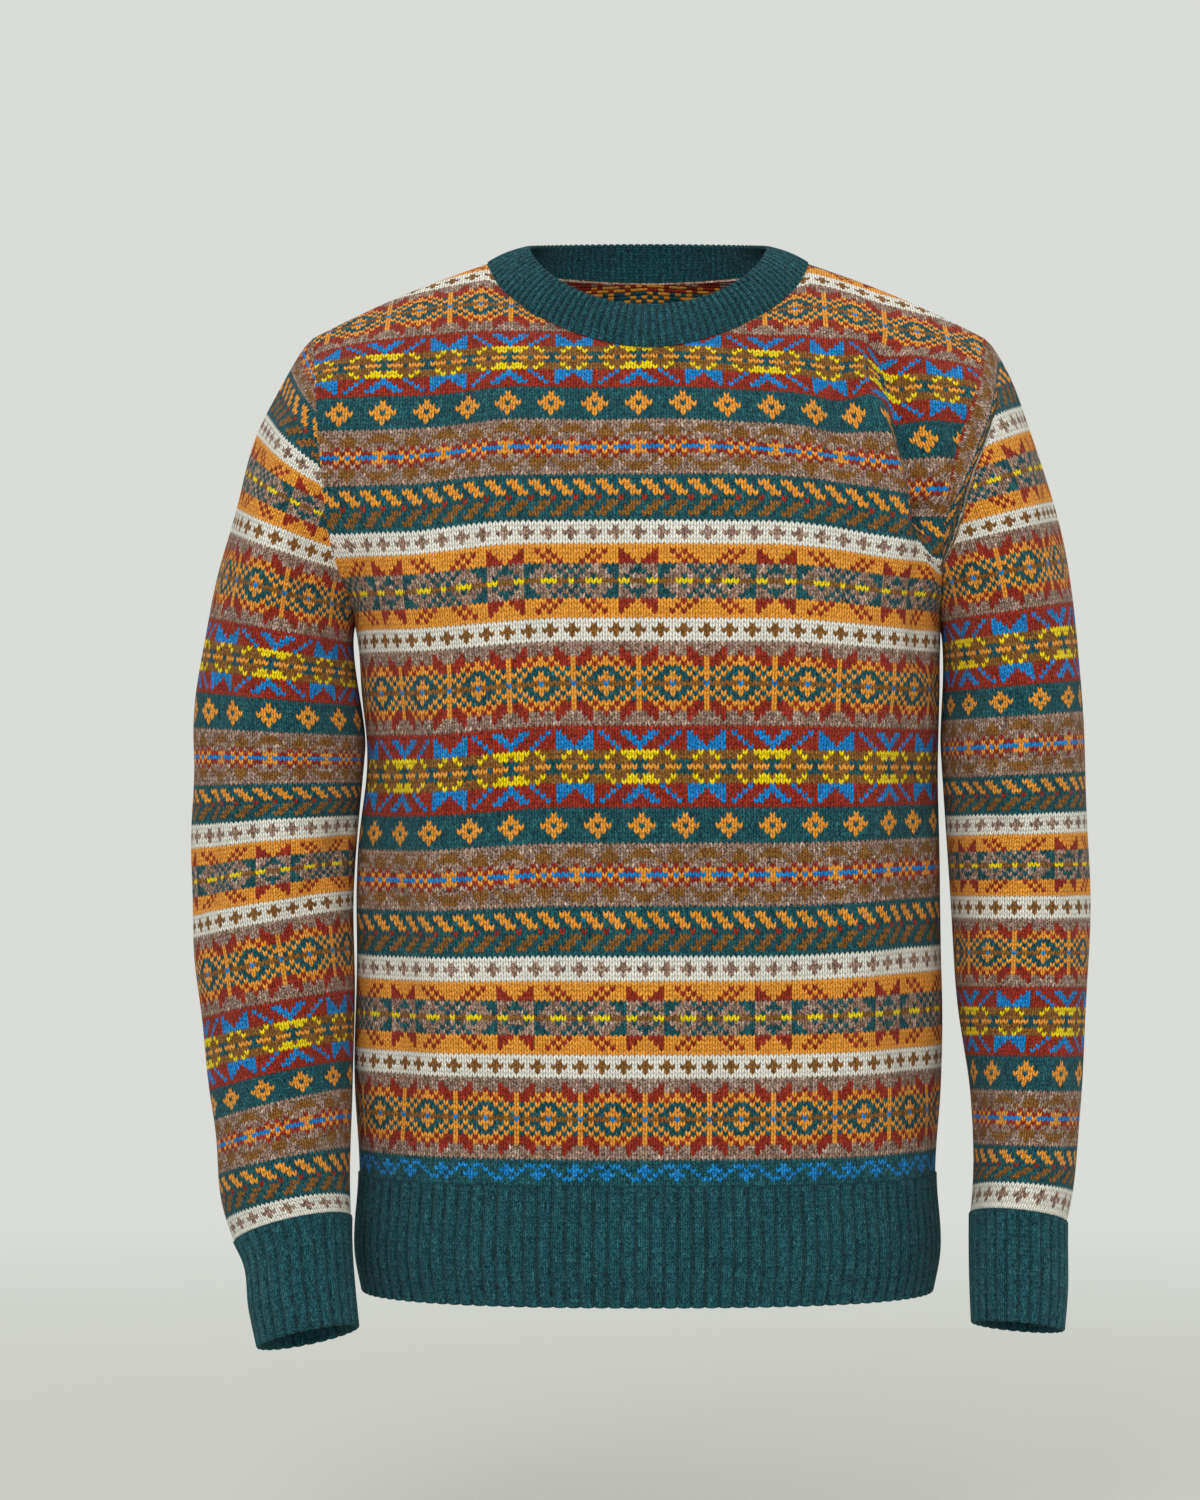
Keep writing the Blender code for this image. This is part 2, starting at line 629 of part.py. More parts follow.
def make_cuff(side, name, sleeve):
    """A ribbed cuff on the end of a sleeve."""
    columns = CUFF_RIBS * PANEL_RIB_COLUMNS
    places = np.arange(columns) / columns * len(sleeve.grid)
    ring = at_columns(sleeve.grid[:, -1], places, wraps=True)
    grid = cuff_surface(side, ring)
    normals = grid_normals(grid, wraps=True) * sleeve.outward
    normals[:, 0] = unit(at_columns(sleeve.normals[:, -1], places, wraps=True))
    return Piece(name, grid, normals, sleeve.outward, wraps=True, edges=("low",))


def neck_columns():
    """The columns of a panel that end at the neckline."""
    inside = int(round(PANEL_COLUMNS * (1 - NECK_SHARE) / 2))
    return slice(inside, PANEL_COLUMNS - inside + 1)


def round_the_neck(front_edge, back_edge):
    """The upper edges of both panels as one closed line, from the viewer's left by the front."""
    neck = neck_columns()
    return np.concatenate([front_edge[neck], back_edge[neck][::-1][1:-1]])


def neck_turns(points):
    """The angle round the neck of points counted from the viewer's left neck point, 0 in front."""
    return np.arange(points) / points * 2 * np.pi - np.pi / 2


def lean_to_neckband(front, back):
    """Turns the panels' normals along the neckline half way to those of the neckband."""
    base = round_the_neck(front.grid[:, -1], back.grid[:, -1])
    band = neckband_surface(base, neck_turns(len(base)))
    mean = unit(grid_normals(band, wraps=True)[:, 0] + round_the_neck(front.normals[:, -1], back.normals[:, -1]))
    neck = neck_columns()
    count = neck.stop - neck.start
    front.normals[neck, -1] = mean[:count]
    back.normals[neck, -1] = np.concatenate([mean[count - 1 :], mean[:1]])[::-1]


def make_neckband(front, back):
    """The ribbed neckband, sewn round the necklines of both panels."""
    base = round_the_neck(front.grid[:, -1], back.grid[:, -1])
    parts = NECK_RIBS * NECK_RIB_COLUMNS // len(base)
    places = np.arange(len(base) * parts) / parts
    grid = neckband_surface(at_columns(base, places, wraps=True), neck_turns(len(places)))
    normals = grid_normals(grid, wraps=True)
    seam_normals = round_the_neck(front.normals[:, -1], back.normals[:, -1])
    normals[:, 0] = unit(at_columns(seam_normals, places, wraps=True))
    return Piece("neckband", grid, normals, 1, wraps=True, edges=("low",)), parts


def build():
    for thing in list(bpy.data.objects):
        bpy.data.objects.remove(thing, do_unlink=True)
    collection = bpy.data.collections.new("fair_isle_jumper")
    bpy.context.scene.collection.children.link(collection)

    panels = []
    for face, outward in (("front", 1), ("back", -1)):
        grid, normals = folded_panel(face, FINER * PANEL_COLUMNS, FINER * SIDE_ROWS, FINER * YOKE_ROWS)
        edges = ("low", "high", "first", "last")
        panels.append(Piece("body_" + face, grid[::FINER, ::FINER], normals[::FINER, ::FINER], outward, edges=edges))
    front, back = panels
    right_sleeve = make_sleeve("left", "sleeve_right")
    left_sleeve = make_sleeve("right", "sleeve_left")
    lean_to_neckband(front, back)
    share_normals([front, back, right_sleeve, left_sleeve])
    for piece in (front, back, right_sleeve, left_sleeve):
        link_plain(piece, collection)

    for panel, face in ((front, "front"), (back, "back")):
        hem, parts = make_hem(panel, face)
        link_ribbed(hem, PANEL_RIB_COLUMNS, parts, collection)
    link_ribbed(make_cuff("left", "cuff_right", right_sleeve), PANEL_RIB_COLUMNS, 1, collection)
    link_ribbed(make_cuff("right", "cuff_left", left_sleeve), PANEL_RIB_COLUMNS, 1, collection)
    neckband, parts = make_neckband(front, back)
    link_ribbed(neckband, NECK_RIB_COLUMNS, parts, collection)


build()
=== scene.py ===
"""Looks of the fair isle jumper, laid out stitch by stitch on the worn shape of its nine sewn pieces.

Lengths are in millimetres until link_piece() writes metres. X is to the right as seen from the front, Y
goes from front to back and Z is up. A piece is a grid of points: its columns follow the wales of the knit,
its rows follow the courses and are counted upwards. Each stitch is two slanted legs side by side, and each
leg is one face in the colour of its yarn. Left and right are as seen from the front, but in the pieces'
names they are the wearer's.
"""

import bpy
import numpy as np
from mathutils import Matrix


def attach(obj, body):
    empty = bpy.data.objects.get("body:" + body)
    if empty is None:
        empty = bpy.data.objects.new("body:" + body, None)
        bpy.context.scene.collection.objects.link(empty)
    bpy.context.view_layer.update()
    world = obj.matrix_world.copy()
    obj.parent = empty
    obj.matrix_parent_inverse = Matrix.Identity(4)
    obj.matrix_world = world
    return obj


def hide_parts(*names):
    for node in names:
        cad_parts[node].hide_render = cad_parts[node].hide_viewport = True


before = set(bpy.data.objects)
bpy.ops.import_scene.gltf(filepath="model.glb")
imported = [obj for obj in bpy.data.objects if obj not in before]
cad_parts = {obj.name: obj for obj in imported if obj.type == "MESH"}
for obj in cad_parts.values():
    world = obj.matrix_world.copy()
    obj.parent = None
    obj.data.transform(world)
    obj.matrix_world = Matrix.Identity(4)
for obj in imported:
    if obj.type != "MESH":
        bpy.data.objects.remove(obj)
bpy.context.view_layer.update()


def as_table(*rows):
    """A table of numbers, one list for each row."""
    return np.array(rows, float)


MM = 0.001
SEED = 1963

# --- Driving sizes, the same as the solids' ---
WALL = 2.2
RIB_WALL = 1.5
RIB_RAISED = 1.4
HEM_BOTTOM_Z = -676.0
HEM_TOP_Z = -600.0
UNDERARM_Z = -236.0
SECTION_POWER = 2.4
NECK_HALF_WIDTH = 105.0
NECK_FRONT_DROP = 63.0
NECK_BACK_DROP = 9.0
NECK_FRONT_Y = -80.0
NECK_BACK_Y = 50.0
NECK_POINT_Y = 10.0
NECK_CURVE_POWER = 1.65
NECK_SHARE = 0.5
NECK_DEPTH_POWER = 1.1  # how the neckline's depth falls off towards the neck points
YOKE_LEANS = (33, 68, 80)  # degrees back at the yoke's top: in the middle, at the neck points, at the tips
YOKE_START = 0.95  # how far each yoke line keeps straight up, as a part of its own chord
PULL_FROM = 0.45  # part of the half width from which the yoke is drawn onto the armhole
SHOULDER_TIP_Z = -50.0
SHOULDER_TIP_Y = 4.0
SHOULDER_BULGE = 3.0
CAP_DROP = 6.0  # degrees below level at which the sleeve leaves the armhole in front and behind
CAP_DROP_OUTSIDE = 44.0  # more than that at the shoulder tip
CAP_DROP_UNDERARM = 62.0  # more than that at the underarm
CAP_SPREAD = 0.25  # how far it also leaves forwards and backwards
CAP_LEAVE = 0.75  # length of the cap's first and last slopes, as parts of the chord
CAP_ARRIVE = 0.75
SIDE_FADE = 0.12  # parts of a panel's width and of a piece's length over which the folds fade out
END_FADE = 0.1
SLEEVE_LENGTH = 570.0
SLEEVE_MM_PER_DEGREE = 1.0
HEM_RIBS = 56
CUFF_RIBS = 26
NECK_RIBS = 112
NECK_OPENING_HALF_WIDTH = 79.0
NECK_OPENING_FRONT_Y = -72.0
NECK_OPENING_BACK_Y = 44.0
NECK_OPENING_SIDE_Y = 4.0
NECK_OPENING_FRONT_Z = -36.0
NECK_OPENING_BACK_Z = 15.0
NECK_OPENING_SIDE_Z = 9.0
OPENING_DEPTH_POWER = 0.9  # how the opening's depth and height fall off from the middle to the sides
OPENING_HEIGHT_POWER = 1.3
NECKBAND_ROLL = 1.5  # how far its middle stands out from a flat band
ROLL_RISE = 0.9  # upward part of that direction for one part outwards

# Body sections: height, half width on the left, on the right, depth in front, depth behind
BODY = as_table(
    [-676, 187, 186, 113, 106],
    [-655, 191, 190, 116, 108],
    [-600, 189, 188, 114, 107],
    [-540, 192, 192, 115, 107],
    [-450, 190.5, 192, 114, 103],
    [-390, 190, 191, 116, 101],
    [-322, 184, 190, 122, 105],
    [-285, 187.5, 191, 126, 108],
    [-255, 189.5, 191.5, 127, 111],
    [-236, 193, 192, 127, 112],
)

# Front edge of the armhole: height, depth in front of the side, distance out on the left, on the right
ARMHOLE_FRONT = as_table(
    [-236, 0, 193, 192],
    [-228, 26, 194, 191],
    [-190, 55, 206, 191],
    [-135, 62, 213, 197],
    [-88, 44, 217, 213],
    [-50, -4, 221, 222],
)
# The same behind, where depth is counted backwards
ARMHOLE_BACK = as_table(
    [-236, 0, 193, 192],
    [-229, 28, 194, 193],
    [-190, 60, 200, 200],
    [-135, 68, 206, 207],
    [-88, 52, 214, 215],
    [-50, 4, 221, 222],
)

# Sleeve sections below the cap: height, centre out from the middle, centre forward, half width, half depth,
# and in degrees how far its front leans up and its outer side leans down
SLEEVE_VIEWERS_LEFT = as_table(
    [-322, 242.3, 14, 55.2, 66, 0, 0],
    [-420, 246.4, 18, 51.9, 60, 4, 2],
    [-486, 242.4, 27, 49.2, 56, 8, 5],
    [-549, 238.8, 42, 44.8, 51, 12, 8],
    [-616, 233.5, 62.5, 39.0, 44.5, 15, 12],
    [-631.5, 230.2, 67.5, 36.5, 42, 15, 13],
)
SLEEVE_VIEWERS_RIGHT = as_table(
    [-322, 239.7, 14, 46.2, 70, 0, 0],
    [-420, 243.6, 18, 44.0, 64, 4, 0],
    [-486, 244.3, 27, 41.0, 60, 8, 1],
    [-549, 245.8, 42, 34.8, 55, 10, 3],
    [-610, 241.4, 59.5, 30.7, 48.5, 12, 6],
    [-624.5, 238.8, 64.5, 29.8, 45, 12, 7],
)
# Cuff sections: distance along the arm, then as multiples of the sleeve's last section the width on the
# left, on the right, the depth and the tilt, and the drift inwards on the left, on the right
CUFF = as_table(
    [0, 1.0, 1.0, 1.0, 1.0, 0, 0],
    [12, 0.92, 1.0, 0.96, 0.97, 3, 0.3],
    [45, 0.885, 0.99, 0.93, 0.88, 6.8, 0.7],
    [69, 0.85, 0.94, 0.92, 0.8, 10.8, 1.6],
)

# Folds of the panels: panel, from across, from height, to across, to height, half width, ridge's height
BODY_FOLDS = [
    ("front", 150, -62, 180, -172, 9, -8.0),
    ("front", 178, -168, 176, -262, 10, -5.0),
    ("front", 172, -70, 200, -160, 11, 3.5),
    ("front", -168, -345, -160, -560, 13, -4.5),
    ("front", -140, -300, -132, -520, 16, 2.5),
    ("front", 168, -300, 172, -575, 14, -4.5),
    ("front", 138, -340, 130, -560, 18, 2.5),
    ("front", -176, -245, -150, -330, 12, -3.5),
    ("back", 150, -120, 168, -300, 14, -5.0),
    ("back", -152, -130, -166, -310, 14, -5.0),
    ("back", -120, -330, -110, -570, 18, -4.0),
    ("back", 126, -360, 112, -580, 18, -4.0),
    ("back", -60, -420, 70, -440, 20, -3.5),
]
# Finer creases, which only the cloth has
BODY_CREASES = [
    ("front", 150, -100, 170, -172, 6, 2.6),
    ("front", 160, -110, 178, -176, 4, -2.6),
    ("front", 160, -205, 186, -235, 7, -1.8),
    ("front", 120, -150, 158, -230, 12, -1.6),
    ("front", -182, -180, -196, -225, 7, -1.8),
    ("front", -150, -190, -185, -238, 9, -1.5),
    ("front", -176, -400, -150, -450, 9, -1.4),
    ("front", 176, -420, 150, -470, 9, -1.5),
    ("front", 150, -500, 178, -540, 8, -1.2),
    ("front", -172, -520, -150, -560, 8, -1.2),
    ("front", -60, -560, -20, -585, 16, 1.2),
    ("front", 60, -250, 90, -300, 18, -1.2),
    ("front", -90, -240, -60, -300, 18, -1.2),
    ("back", 140, -220, 180, -250, 8, -1.8),
    ("back", -140, -220, -180, -250, 8, -1.8),
    ("back", 40, -100, 90, -140, 16, -1.4),
    ("back", -40, -100, -95, -135, 16, -1.4),
    ("back", -150, -420, -120, -470, 10, -1.4),
    ("back", 150, -440, 124, -480, 10, -1.4),
]

# Folds of the sleeves: side, from angle, from share of the length, to angle, to share, half width, height
SLEEVE_FOLDS = [
    ("left", 128, 0.30, 140, 0.62, 9, -4.0),
    ("left", 60, 0.12, 100, 0.30, 11, -4.0),
    ("left", 95, 0.52, 130, 0.60, 12, -3.5),
    ("left", 250, 0.25, 215, 0.60, 13, -4.0),
    ("left", 30, 0.55, 80, 0.68, 12, -3.5),
    ("right", 40, 0.50, 95, 0.58, 11, -4.5),
    ("right", 65, 0.14, 110, 0.34, 12, -4.0),
    ("right", 120, 0.40, 100, 0.72, 13, -3.0),
    ("right", 255, 0.22, 220, 0.58, 13, -4.0),
    ("right", 280, 0.55, 235, 0.66, 12, -3.5),
]
SLEEVE_CREASES = [
    ("left", 40, 0.22, 85, 0.30, 7, -1.8),
    ("left", 150, 0.66, 110, 0.72, 8, -1.5),
    ("left", 90, 0.80, 135, 0.84, 8, -1.3),
    ("left", 230, 0.50, 270, 0.58, 9, -1.6),
    ("left", 300, 0.20, 250, 0.30, 9, -1.8),
    ("right", 40, 0.24, 85, 0.33, 7, -1.8),
    ("right", 150, 0.60, 112, 0.66, 8, -1.5),
    ("right", 85, 0.78, 130, 0.83, 8, -1.3),
    ("right", 235, 0.48, 275, 0.55, 9, -1.6),
    ("right", 300, 0.20, 250, 0.31, 9, -1.8),
]

# Samples of the smooth curves, in points, and of the surfaces, in cells
SECTION_POINTS = 200
EDGE_POINTS = 240
LINE_POINTS = 160
PANEL_FINE = 240
PANEL_FINE_ROWS = 100  # below the underarm, and as many above
TUBE_FINE = 240
TUBE_CAP_FINE = 90
TUBE_FINE_ROWS = 110

# The knit. A wale is one column of stitches and a course is one row
HALF_PANEL_WALES = 75
SLEEVE_HALF_WALES = 68
COURSE = 3.05
LEG_SLANT = 0.62  # how far a stitch's legs climb from its middle to its side, in courses
FLOAT_LEGS = 2  # legs to a face of the inside
FLOAT_SHARE = 0.62  # of the inside's faces, which show the course's other yarn
RIB_CELLS = 12  # grid columns to a rib
RIB_LEGS = 6
RIB_COURSES = 24
NECK_RIB_CELLS = 8
NECK_RIB_LEGS = 4
NECK_COURSES = 12
RIDGE_POWER = 0.55
PAINTED_GROOVE_SHADE = 0.72  # painted shade: the part of the yarn's own colour kept at the bottom of the ribbing
LEG_SPREAD = 0.28  # how far legs of one yarn differ in shade, as a part of the way to its other fibres
SEAM_DIP = 0.9  # how deep the cloth is drawn in at a seam
SEAM_DIP_WIDTH = 4.0
SEAM_SHARES_MM = (250.0, 600.0)  # about half of a panel's width and its height, for that width
SLACK_WAVES = (60, 75, 95, 115, 140, 170)
SLACK_HEIGHT = 0.35
WELD = 0.02  # points closer than this become one
SHARP_ANGLE = 70.0  # degrees, above which an edge isn't smoothed
ROLL_TURNS = (35, 65, 90)  # degrees round a rib's free edge at which its roll has points

# Width of a wale on the body: height, millimetres
BODY_WALE = as_table([-600, 3.455], [-245, 3.53], [-188, 3.65], [-163, 3.74], [60, 3.76])
SLEEVE_WALE = as_table([-660, 3.15], [-300, 3.20], [-40, 3.30])

# How far the courses of the body sag at its sides: height, on the left, on the right
COURSE_SAG = as_table(
    [-600, 0, 0],
    [-523, 0, -1.5],
    [-490, 0.6, -2],
    [-458, 2, -3.5],
    [-430, 4, -3.8],
    [-400, 5, -2.9],
    [-370, 6.3, -1.8],
    [-333, 6.5, 1.2],
    [-284, 6, 3.2],
    [-248, 6, 6],
    [-215, 6, 7.5],
    [-183, 5.6, 11.5],
    [-160, 5, 11.5],
    [-120, 4.4, 8],
    [-60, 5, 7.5],
    [0, 5, 7.5],
)
# Distance out from the middle at which the front's sag starts: height, distance
LEFT_SAG_STARTS = as_table([-240, 50], [-190, 85])
RIGHT_SAG_STARTS = as_table([-150, 75], [-110, 0])
SAG_WHOLE = (160.0, 190.0)  # and at which it is whole, on the left, on the right
BACK_SAG_STARTS = 90.0
BACK_SAG_WIDTH = 90.0
# How far the front's pattern is drawn to the left: height, and how far at DRIFT_REACH left of the middle,
# in the middle, and at DRIFT_REACH right of it
PATTERN_DRIFT = as_table(
    [-600, 1.3, 3.4, 5],
    [-520, 1.5, 2.9, 5.5],
    [-440, 4, 3.1, 6.4],
    [-370, 5, 5.1, 6.2],
    [-330, 3.5, 6.4, 6],
    [-284, 4, 7.1, 3.5],
    [-248, 5.5, 7.6, 2.6],
    [-184, 3.8, 7.6, 5.8],
    [-131, 0, 7.6, 9.9],
    [-103, -2.5, 7.5, 15.5],
    [-78, -3.5, 7.2, 21],
    [-45, -5, 7, 22.5],
)
DRIFT_REACH = 150.0
COURSES_SAG_TO = -125.0
COURSES_SAG_FADE = 30.0
# Waves of the yoke's courses, as lines with a half width and how far the courses beside them lie lower
COURSE_WAVES = [
    ("front", 116, -55, 120, -112, 15, 2.8),
    ("front", 145, -60, 147, -98, 13, -4.5),
]
# The tuck in front, on the right: the line it follows down, and how much lower the cloth lies beyond it
TUCK_FROM = (141, -66)
TUCK_TO = (176, -175)
TUCK_DROP = 13.0
TUCK_WIDTH = as_table([-112, 6], [-88, 24], [-70, 45])  # height, width that the drop takes
TUCK_LEAD = 0.4  # part of that width that lies before the line
TUCK_END_Z = -245.0
TUCK_END_FADE = 60.0
# How steeply the courses of a sleeve slope down towards the body: height, on the left, on the right
COURSE_SLOPE = as_table(
    [-626, 0.0, 0.0],
    [-560, -0.15, 0.0],
    [-500, -0.13, 0.0],
    [-430, -0.16, 0.0],
    [-374, -0.07, 0.03],
    [-288, 0.10, 0.08],
    [-243, 0.2, 0.14],
    [-178, 0.45, 0.25],
    [-120, 0.85, 0.38],
    [-50, 1.0, 0.45],
)
# How much of a ring's forward lean the courses leave out, on the left, on the right
COURSE_FLAT = (0.45, 0.7)
CUFF_FADE = 40.0  # length above the cuff over which the courses leave its edge
# The strip beside the right-hand armhole, where the sleeve's last courses run along the seam: height, where
# band e ends, and where band F ends, as distances from the seam
SEAM_STRIP = as_table([-203, 0, 0], [-190, 0, 7], [-171, 0, 13], [-150, 12, 17], [-130, 16, 18.5])
# The levels across the strip: place, 0 to 1 in band e, to 2 in band F and on by millimetres, and level
STRIP_LEVELS = as_table([0, -46], [0.21, -50.1], [1, -66.6], [2, -95.6], [3.5, -170], [12, -700])


def linear(code):
    """The linear colour of an sRGB hex code: below 0.04045 a twelfth, above it a power of 2.4."""
    parts = np.array([int(code[i : i + 2], 16) for i in (1, 3, 5)]) / 255
    return np.where(parts <= 0.04045, parts / 12.92, ((parts + 0.055) / 1.055) ** 2.4)


# Yarns by letter: colour, colour of its darker and its lighter fibres, how strongly the melange shows
YARNS = {
    "T": ("#1e545c", "#10383f", "#347478", 0.90),
    "O": ("#f09d38", "#d38226", "#f8b250", 0.55),
    "R": ("#982f1e", "#772214", "#bd452c", 0.80),
    "Y": ("#f8da0c", "#dfba0a", "#fde640", 0.50),
    "B": ("#1784d0", "#1168a8", "#3ea4e8", 0.80),
    "N": ("#8b5c28", "#6a441c", "#a97840", 0.75),
    "P": ("#9b7c6b", "#654a3d", "#d2bbab", 1.00),
    "W": ("#eeebe0", "#dcd8cb", "#f6f3ea", 0.30),
}

# The charts of the bands, each row from the centre stitch to the edge of the half repeat, top course first.
# The lower half repeats the upper one about its last row
CHARTS = {
    "A": [
        "PPPPPPP", "PPPRPPP", "PPRRPPR", "ORRRORO", "ORROROO", "OTOTOTT", "OOTOTTO", "OTOTTOO", "BNNNNNB",
    ],
    "D": ["TTTTT", "OTTTT", "OOTTT", "TOOTT"],
    "E": ["PPPPPPP", "NNPPPPN", "NNNPPNN", "PPPNPNN", "RPPPRPR", "OORRORO", "OBBBBOB"],
    "G": [
        "OOOOOOOOOOOOO", "OOOROOROROOOO", "OORROOOROROOO", "ORRROOOOROROO",
        "TPPPTTTPPTPTP", "TTPPTTPPPPTPT", "PPTPTPPPTPPTP", "NNYYNNNYYYNNY",
    ],
    "X": [
        "RRRRRRRRRRRRR", "RRBBRRRBRBRRR", "RBBRRRBRRBBRR", "BBRRRBRRRBBBR", "BRRRBRRRRBBBB",
        "YYYYNYNNNNNYN", "NYYNNNYNNNYNN", "TTNNNNNTTTNNN", "TOOOTOOOTOOOT",
    ],
    "U": ["WWW", "PWW", "PPW"],
    "V": ["WWW", "NWW", "NNW"],
}
# Charts whose rows are whole repeats, because they have no mirror line
WHOLE_CHARTS = {
    "e": ["RRPRRRPRRRPR", "PPPNPNNNPNPP", "NNNPPNNNPPNN", "NNPPPPNPPPPN", "PPPPPPPPPPPP"],
    "F": ["TTTT", "TOOT", "TTOO", "OTTO", "TRTT", "NTTN", "TTNN", "TNNT", "TTTT"],
    "H": [
        "TTTTTTTTTTTTT", "TBBTTTTBTTTBB", "BTTBTTBBBTBTT",
        "BBTTBTTBTBTTB", "BTTTTBBTBTTTT", "TTTTTTTTTTTTT",
    ],
}
HEM_CHART_SHIFT = 7  # wales that the hem's chart is drawn to the left
SLEEVE_CHART_SHIFT = {"left": -5, "right": -7}  # the same for the sleeves' charts, seen from outside

# The bands of the body from the hem up, with the height of each one's top in the middle of the front
BODY_BANDS = [
    ("H", -583.8), ("A", -531.8), ("V", -517.1), ("G", -470.1),
    ("U", -454.5), ("F", -422.4), ("E", -382.1), ("D", -359.5),
    ("X", -307.2), ("A", -253.8), ("V", -239.3), ("G", -192.1),
    ("U", -177.5), ("F", -147.6), ("E", -111.9), ("D", -90.4),
]
# The bands above those, with the height of one course
BANDS_ABOVE = [("X", 2.75), ("A", 3.0), ("V", 3.0), ("G", 3.0), ("U", 3.0), ("F", 3.0), ("E", 3.0)]
# The bands of the sleeves from the cuff up, with the height of each one's top at the outer line
SLEEVE_BANDS = {
    "left": [
        ("U", -620), ("F", -594.5), ("E", -561), ("D", -542.5), ("X", -496),
        ("A", -445), ("V", -431), ("G", -387.5), ("U", -372), ("F", -346),
        ("E", -308.5), ("D", -285), ("X", -236), ("A", -179.5), ("V", -163),
        ("G", -116), ("U", -102), ("F", -72), ("E", -46),
    ],
    "right": [
        ("U", -607), ("F", -579), ("E", -544), ("D", -522), ("X", -477.5),
        ("A", -433), ("V", -418), ("G", -376.5), ("U", -363), ("F", -337),
        ("E", -297.5), ("D", -277.5), ("X", -226), ("A", -172), ("V", -159.5),
        ("G", -112), ("U", -95.6), ("F", -66.6), ("e", -46),
    ],
}


def chart_rows(band):
    """The whole repeats of a band's courses, from the bottom up."""
    if band in WHOLE_CHARTS:
        return WHOLE_CHARTS[band][::-1]
    rows = CHARTS[band] + CHARTS[band][-2::-1]
    return [row + row[-2:0:-1] for row in rows][::-1]


def courses_of(bands, shift=0):
    """Every course of a piece from the bottom up, each as its repeat and the repeat's shift in wales."""
    shifts = [shift + (HEM_CHART_SHIFT if band == "H" else 0) for band in bands]
    return [(row, drawn) for band, drawn in zip(bands, shifts) for row in chart_rows(band)]


# --- Curves and surfaces, the same as the solids' ---


def smooth(keys, values, at):
    """Values at the places at, on one smooth curve through a table: cubic pieces with centred slopes."""
    keys = np.asarray(keys, float)
    values = np.asarray(values, float)
    at = np.asarray(at, float)
    if keys[-1] < keys[0]:
        keys, values = keys[::-1], values[::-1]
    slopes = np.gradient(values, keys, axis=0)
    k = np.clip(np.searchsorted(keys, at, side="right") - 1, 0, len(keys) - 2)
    step = keys[k + 1] - keys[k]
    t = np.clip((at - keys[k]) / step, 0, 1)
    if values.ndim > 1:
        step, t = step[..., None], t[..., None]
    return cubic(values[k], slopes[k] * step, values[k + 1], slopes[k + 1] * step, t)


def cubic(start, start_slope, end, end_slope, t):
    """The cubic from start to end with the given slopes, at t from 0 to 1."""
    return (
        start * (1 + 2 * t) * (1 - t) ** 2
        + start_slope * t * (1 - t) ** 2
        + end * t * t * (3 - 2 * t)
        + end_slope * t * t * (t - 1)
    )


def lengths_along(line):
    """Distance of each point of a polyline from its start."""
    steps = np.linalg.norm(np.diff(line, axis=0), axis=1)
    return np.concatenate([[0], np.cumsum(steps)])


def at_shares(line, shares):
    """Points of a fine polyline at shares of its length, from 0 to 1."""
    along = lengths_along(line)
    at = np.asarray(shares) * along[-1]
    return np.stack([np.interp(at, along, line[:, k]) for k in range(3)], axis=1)


def straight(rows, at, column=1):
    """Values at the places at, on straight lines through a column of a table."""
    return np.interp(at, rows[:, 0], rows[:, column])


def unit(vectors):
    """Vectors over their own lengths."""
    return vectors / np.maximum(np.linalg.norm(vectors, axis=-1, keepdims=True), 1e-12)


def smoothstep(t):
    """3t^2 - 2t^3, held at 0 before t = 0 and at 1 after t = 1."""
    t = np.clip(t, 0, 1)
    return t * t * (3 - 2 * t)


def body_row(z, face, shares):
    """One level of the body: |x/width|^p + |y/depth|^p = 1, at shares -1 to 1 of its length."""
    left, right, front, back = smooth(BODY[:, 0], BODY[:, 1:], z)
    depth = -front if face == "front" else back
    angle = np.linspace(0, np.pi / 2, SECTION_POINTS)
    across = np.sin(angle) ** (2 / SECTION_POWER)
    along = np.cos(angle) ** (2 / SECTION_POWER)
    found = np.empty((len(shares), 3))
    for sign, half in ((-1, left), (1, right)):
        line = np.stack([sign * half * across, depth * along, np.full(len(angle), z)], axis=1)
        side = shares * sign >= 0
        found[side] = at_shares(line, np.abs(shares[side]))
    return found


def neckline(face, shares):
    """Points of a neckline at shares -1 to 1 of its half length: a super-ellipse in the front view."""
    drop = NECK_FRONT_DROP if face == "front" else NECK_BACK_DROP
    middle_y = NECK_FRONT_Y if face == "front" else NECK_BACK_Y
    angle = np.linspace(0, np.pi / 2, SECTION_POINTS)
    across = np.sin(angle) ** (2 / NECK_CURVE_POWER)
    down = np.cos(angle) ** (2 / NECK_CURVE_POWER)
    depth = NECK_POINT_Y + (middle_y - NECK_POINT_Y) * np.cos(angle) ** NECK_DEPTH_POWER
    line = np.stack([NECK_HALF_WIDTH * across, depth, -drop * down], axis=1)
    points = at_shares(line, np.abs(shares))
    points[:, 0] *= np.sign(shares)
    return points


def shoulder_seam(signs, shares):
    """Points of the shoulder seams at shares 0 at the neck to 1 at the tip, on the sides in signs."""
    tip_x = np.where(signs < 0, ARMHOLE_FRONT[-1, 2], ARMHOLE_FRONT[-1, 3])
    x = NECK_HALF_WIDTH + (tip_x - NECK_HALF_WIDTH) * shares
    y = NECK_POINT_Y + (SHOULDER_TIP_Y - NECK_POINT_Y) * shares
    z = SHOULDER_TIP_Z * shares + SHOULDER_BULGE * np.sin(np.pi * shares)
    return np.stack([signs * x, y, z], axis=1)


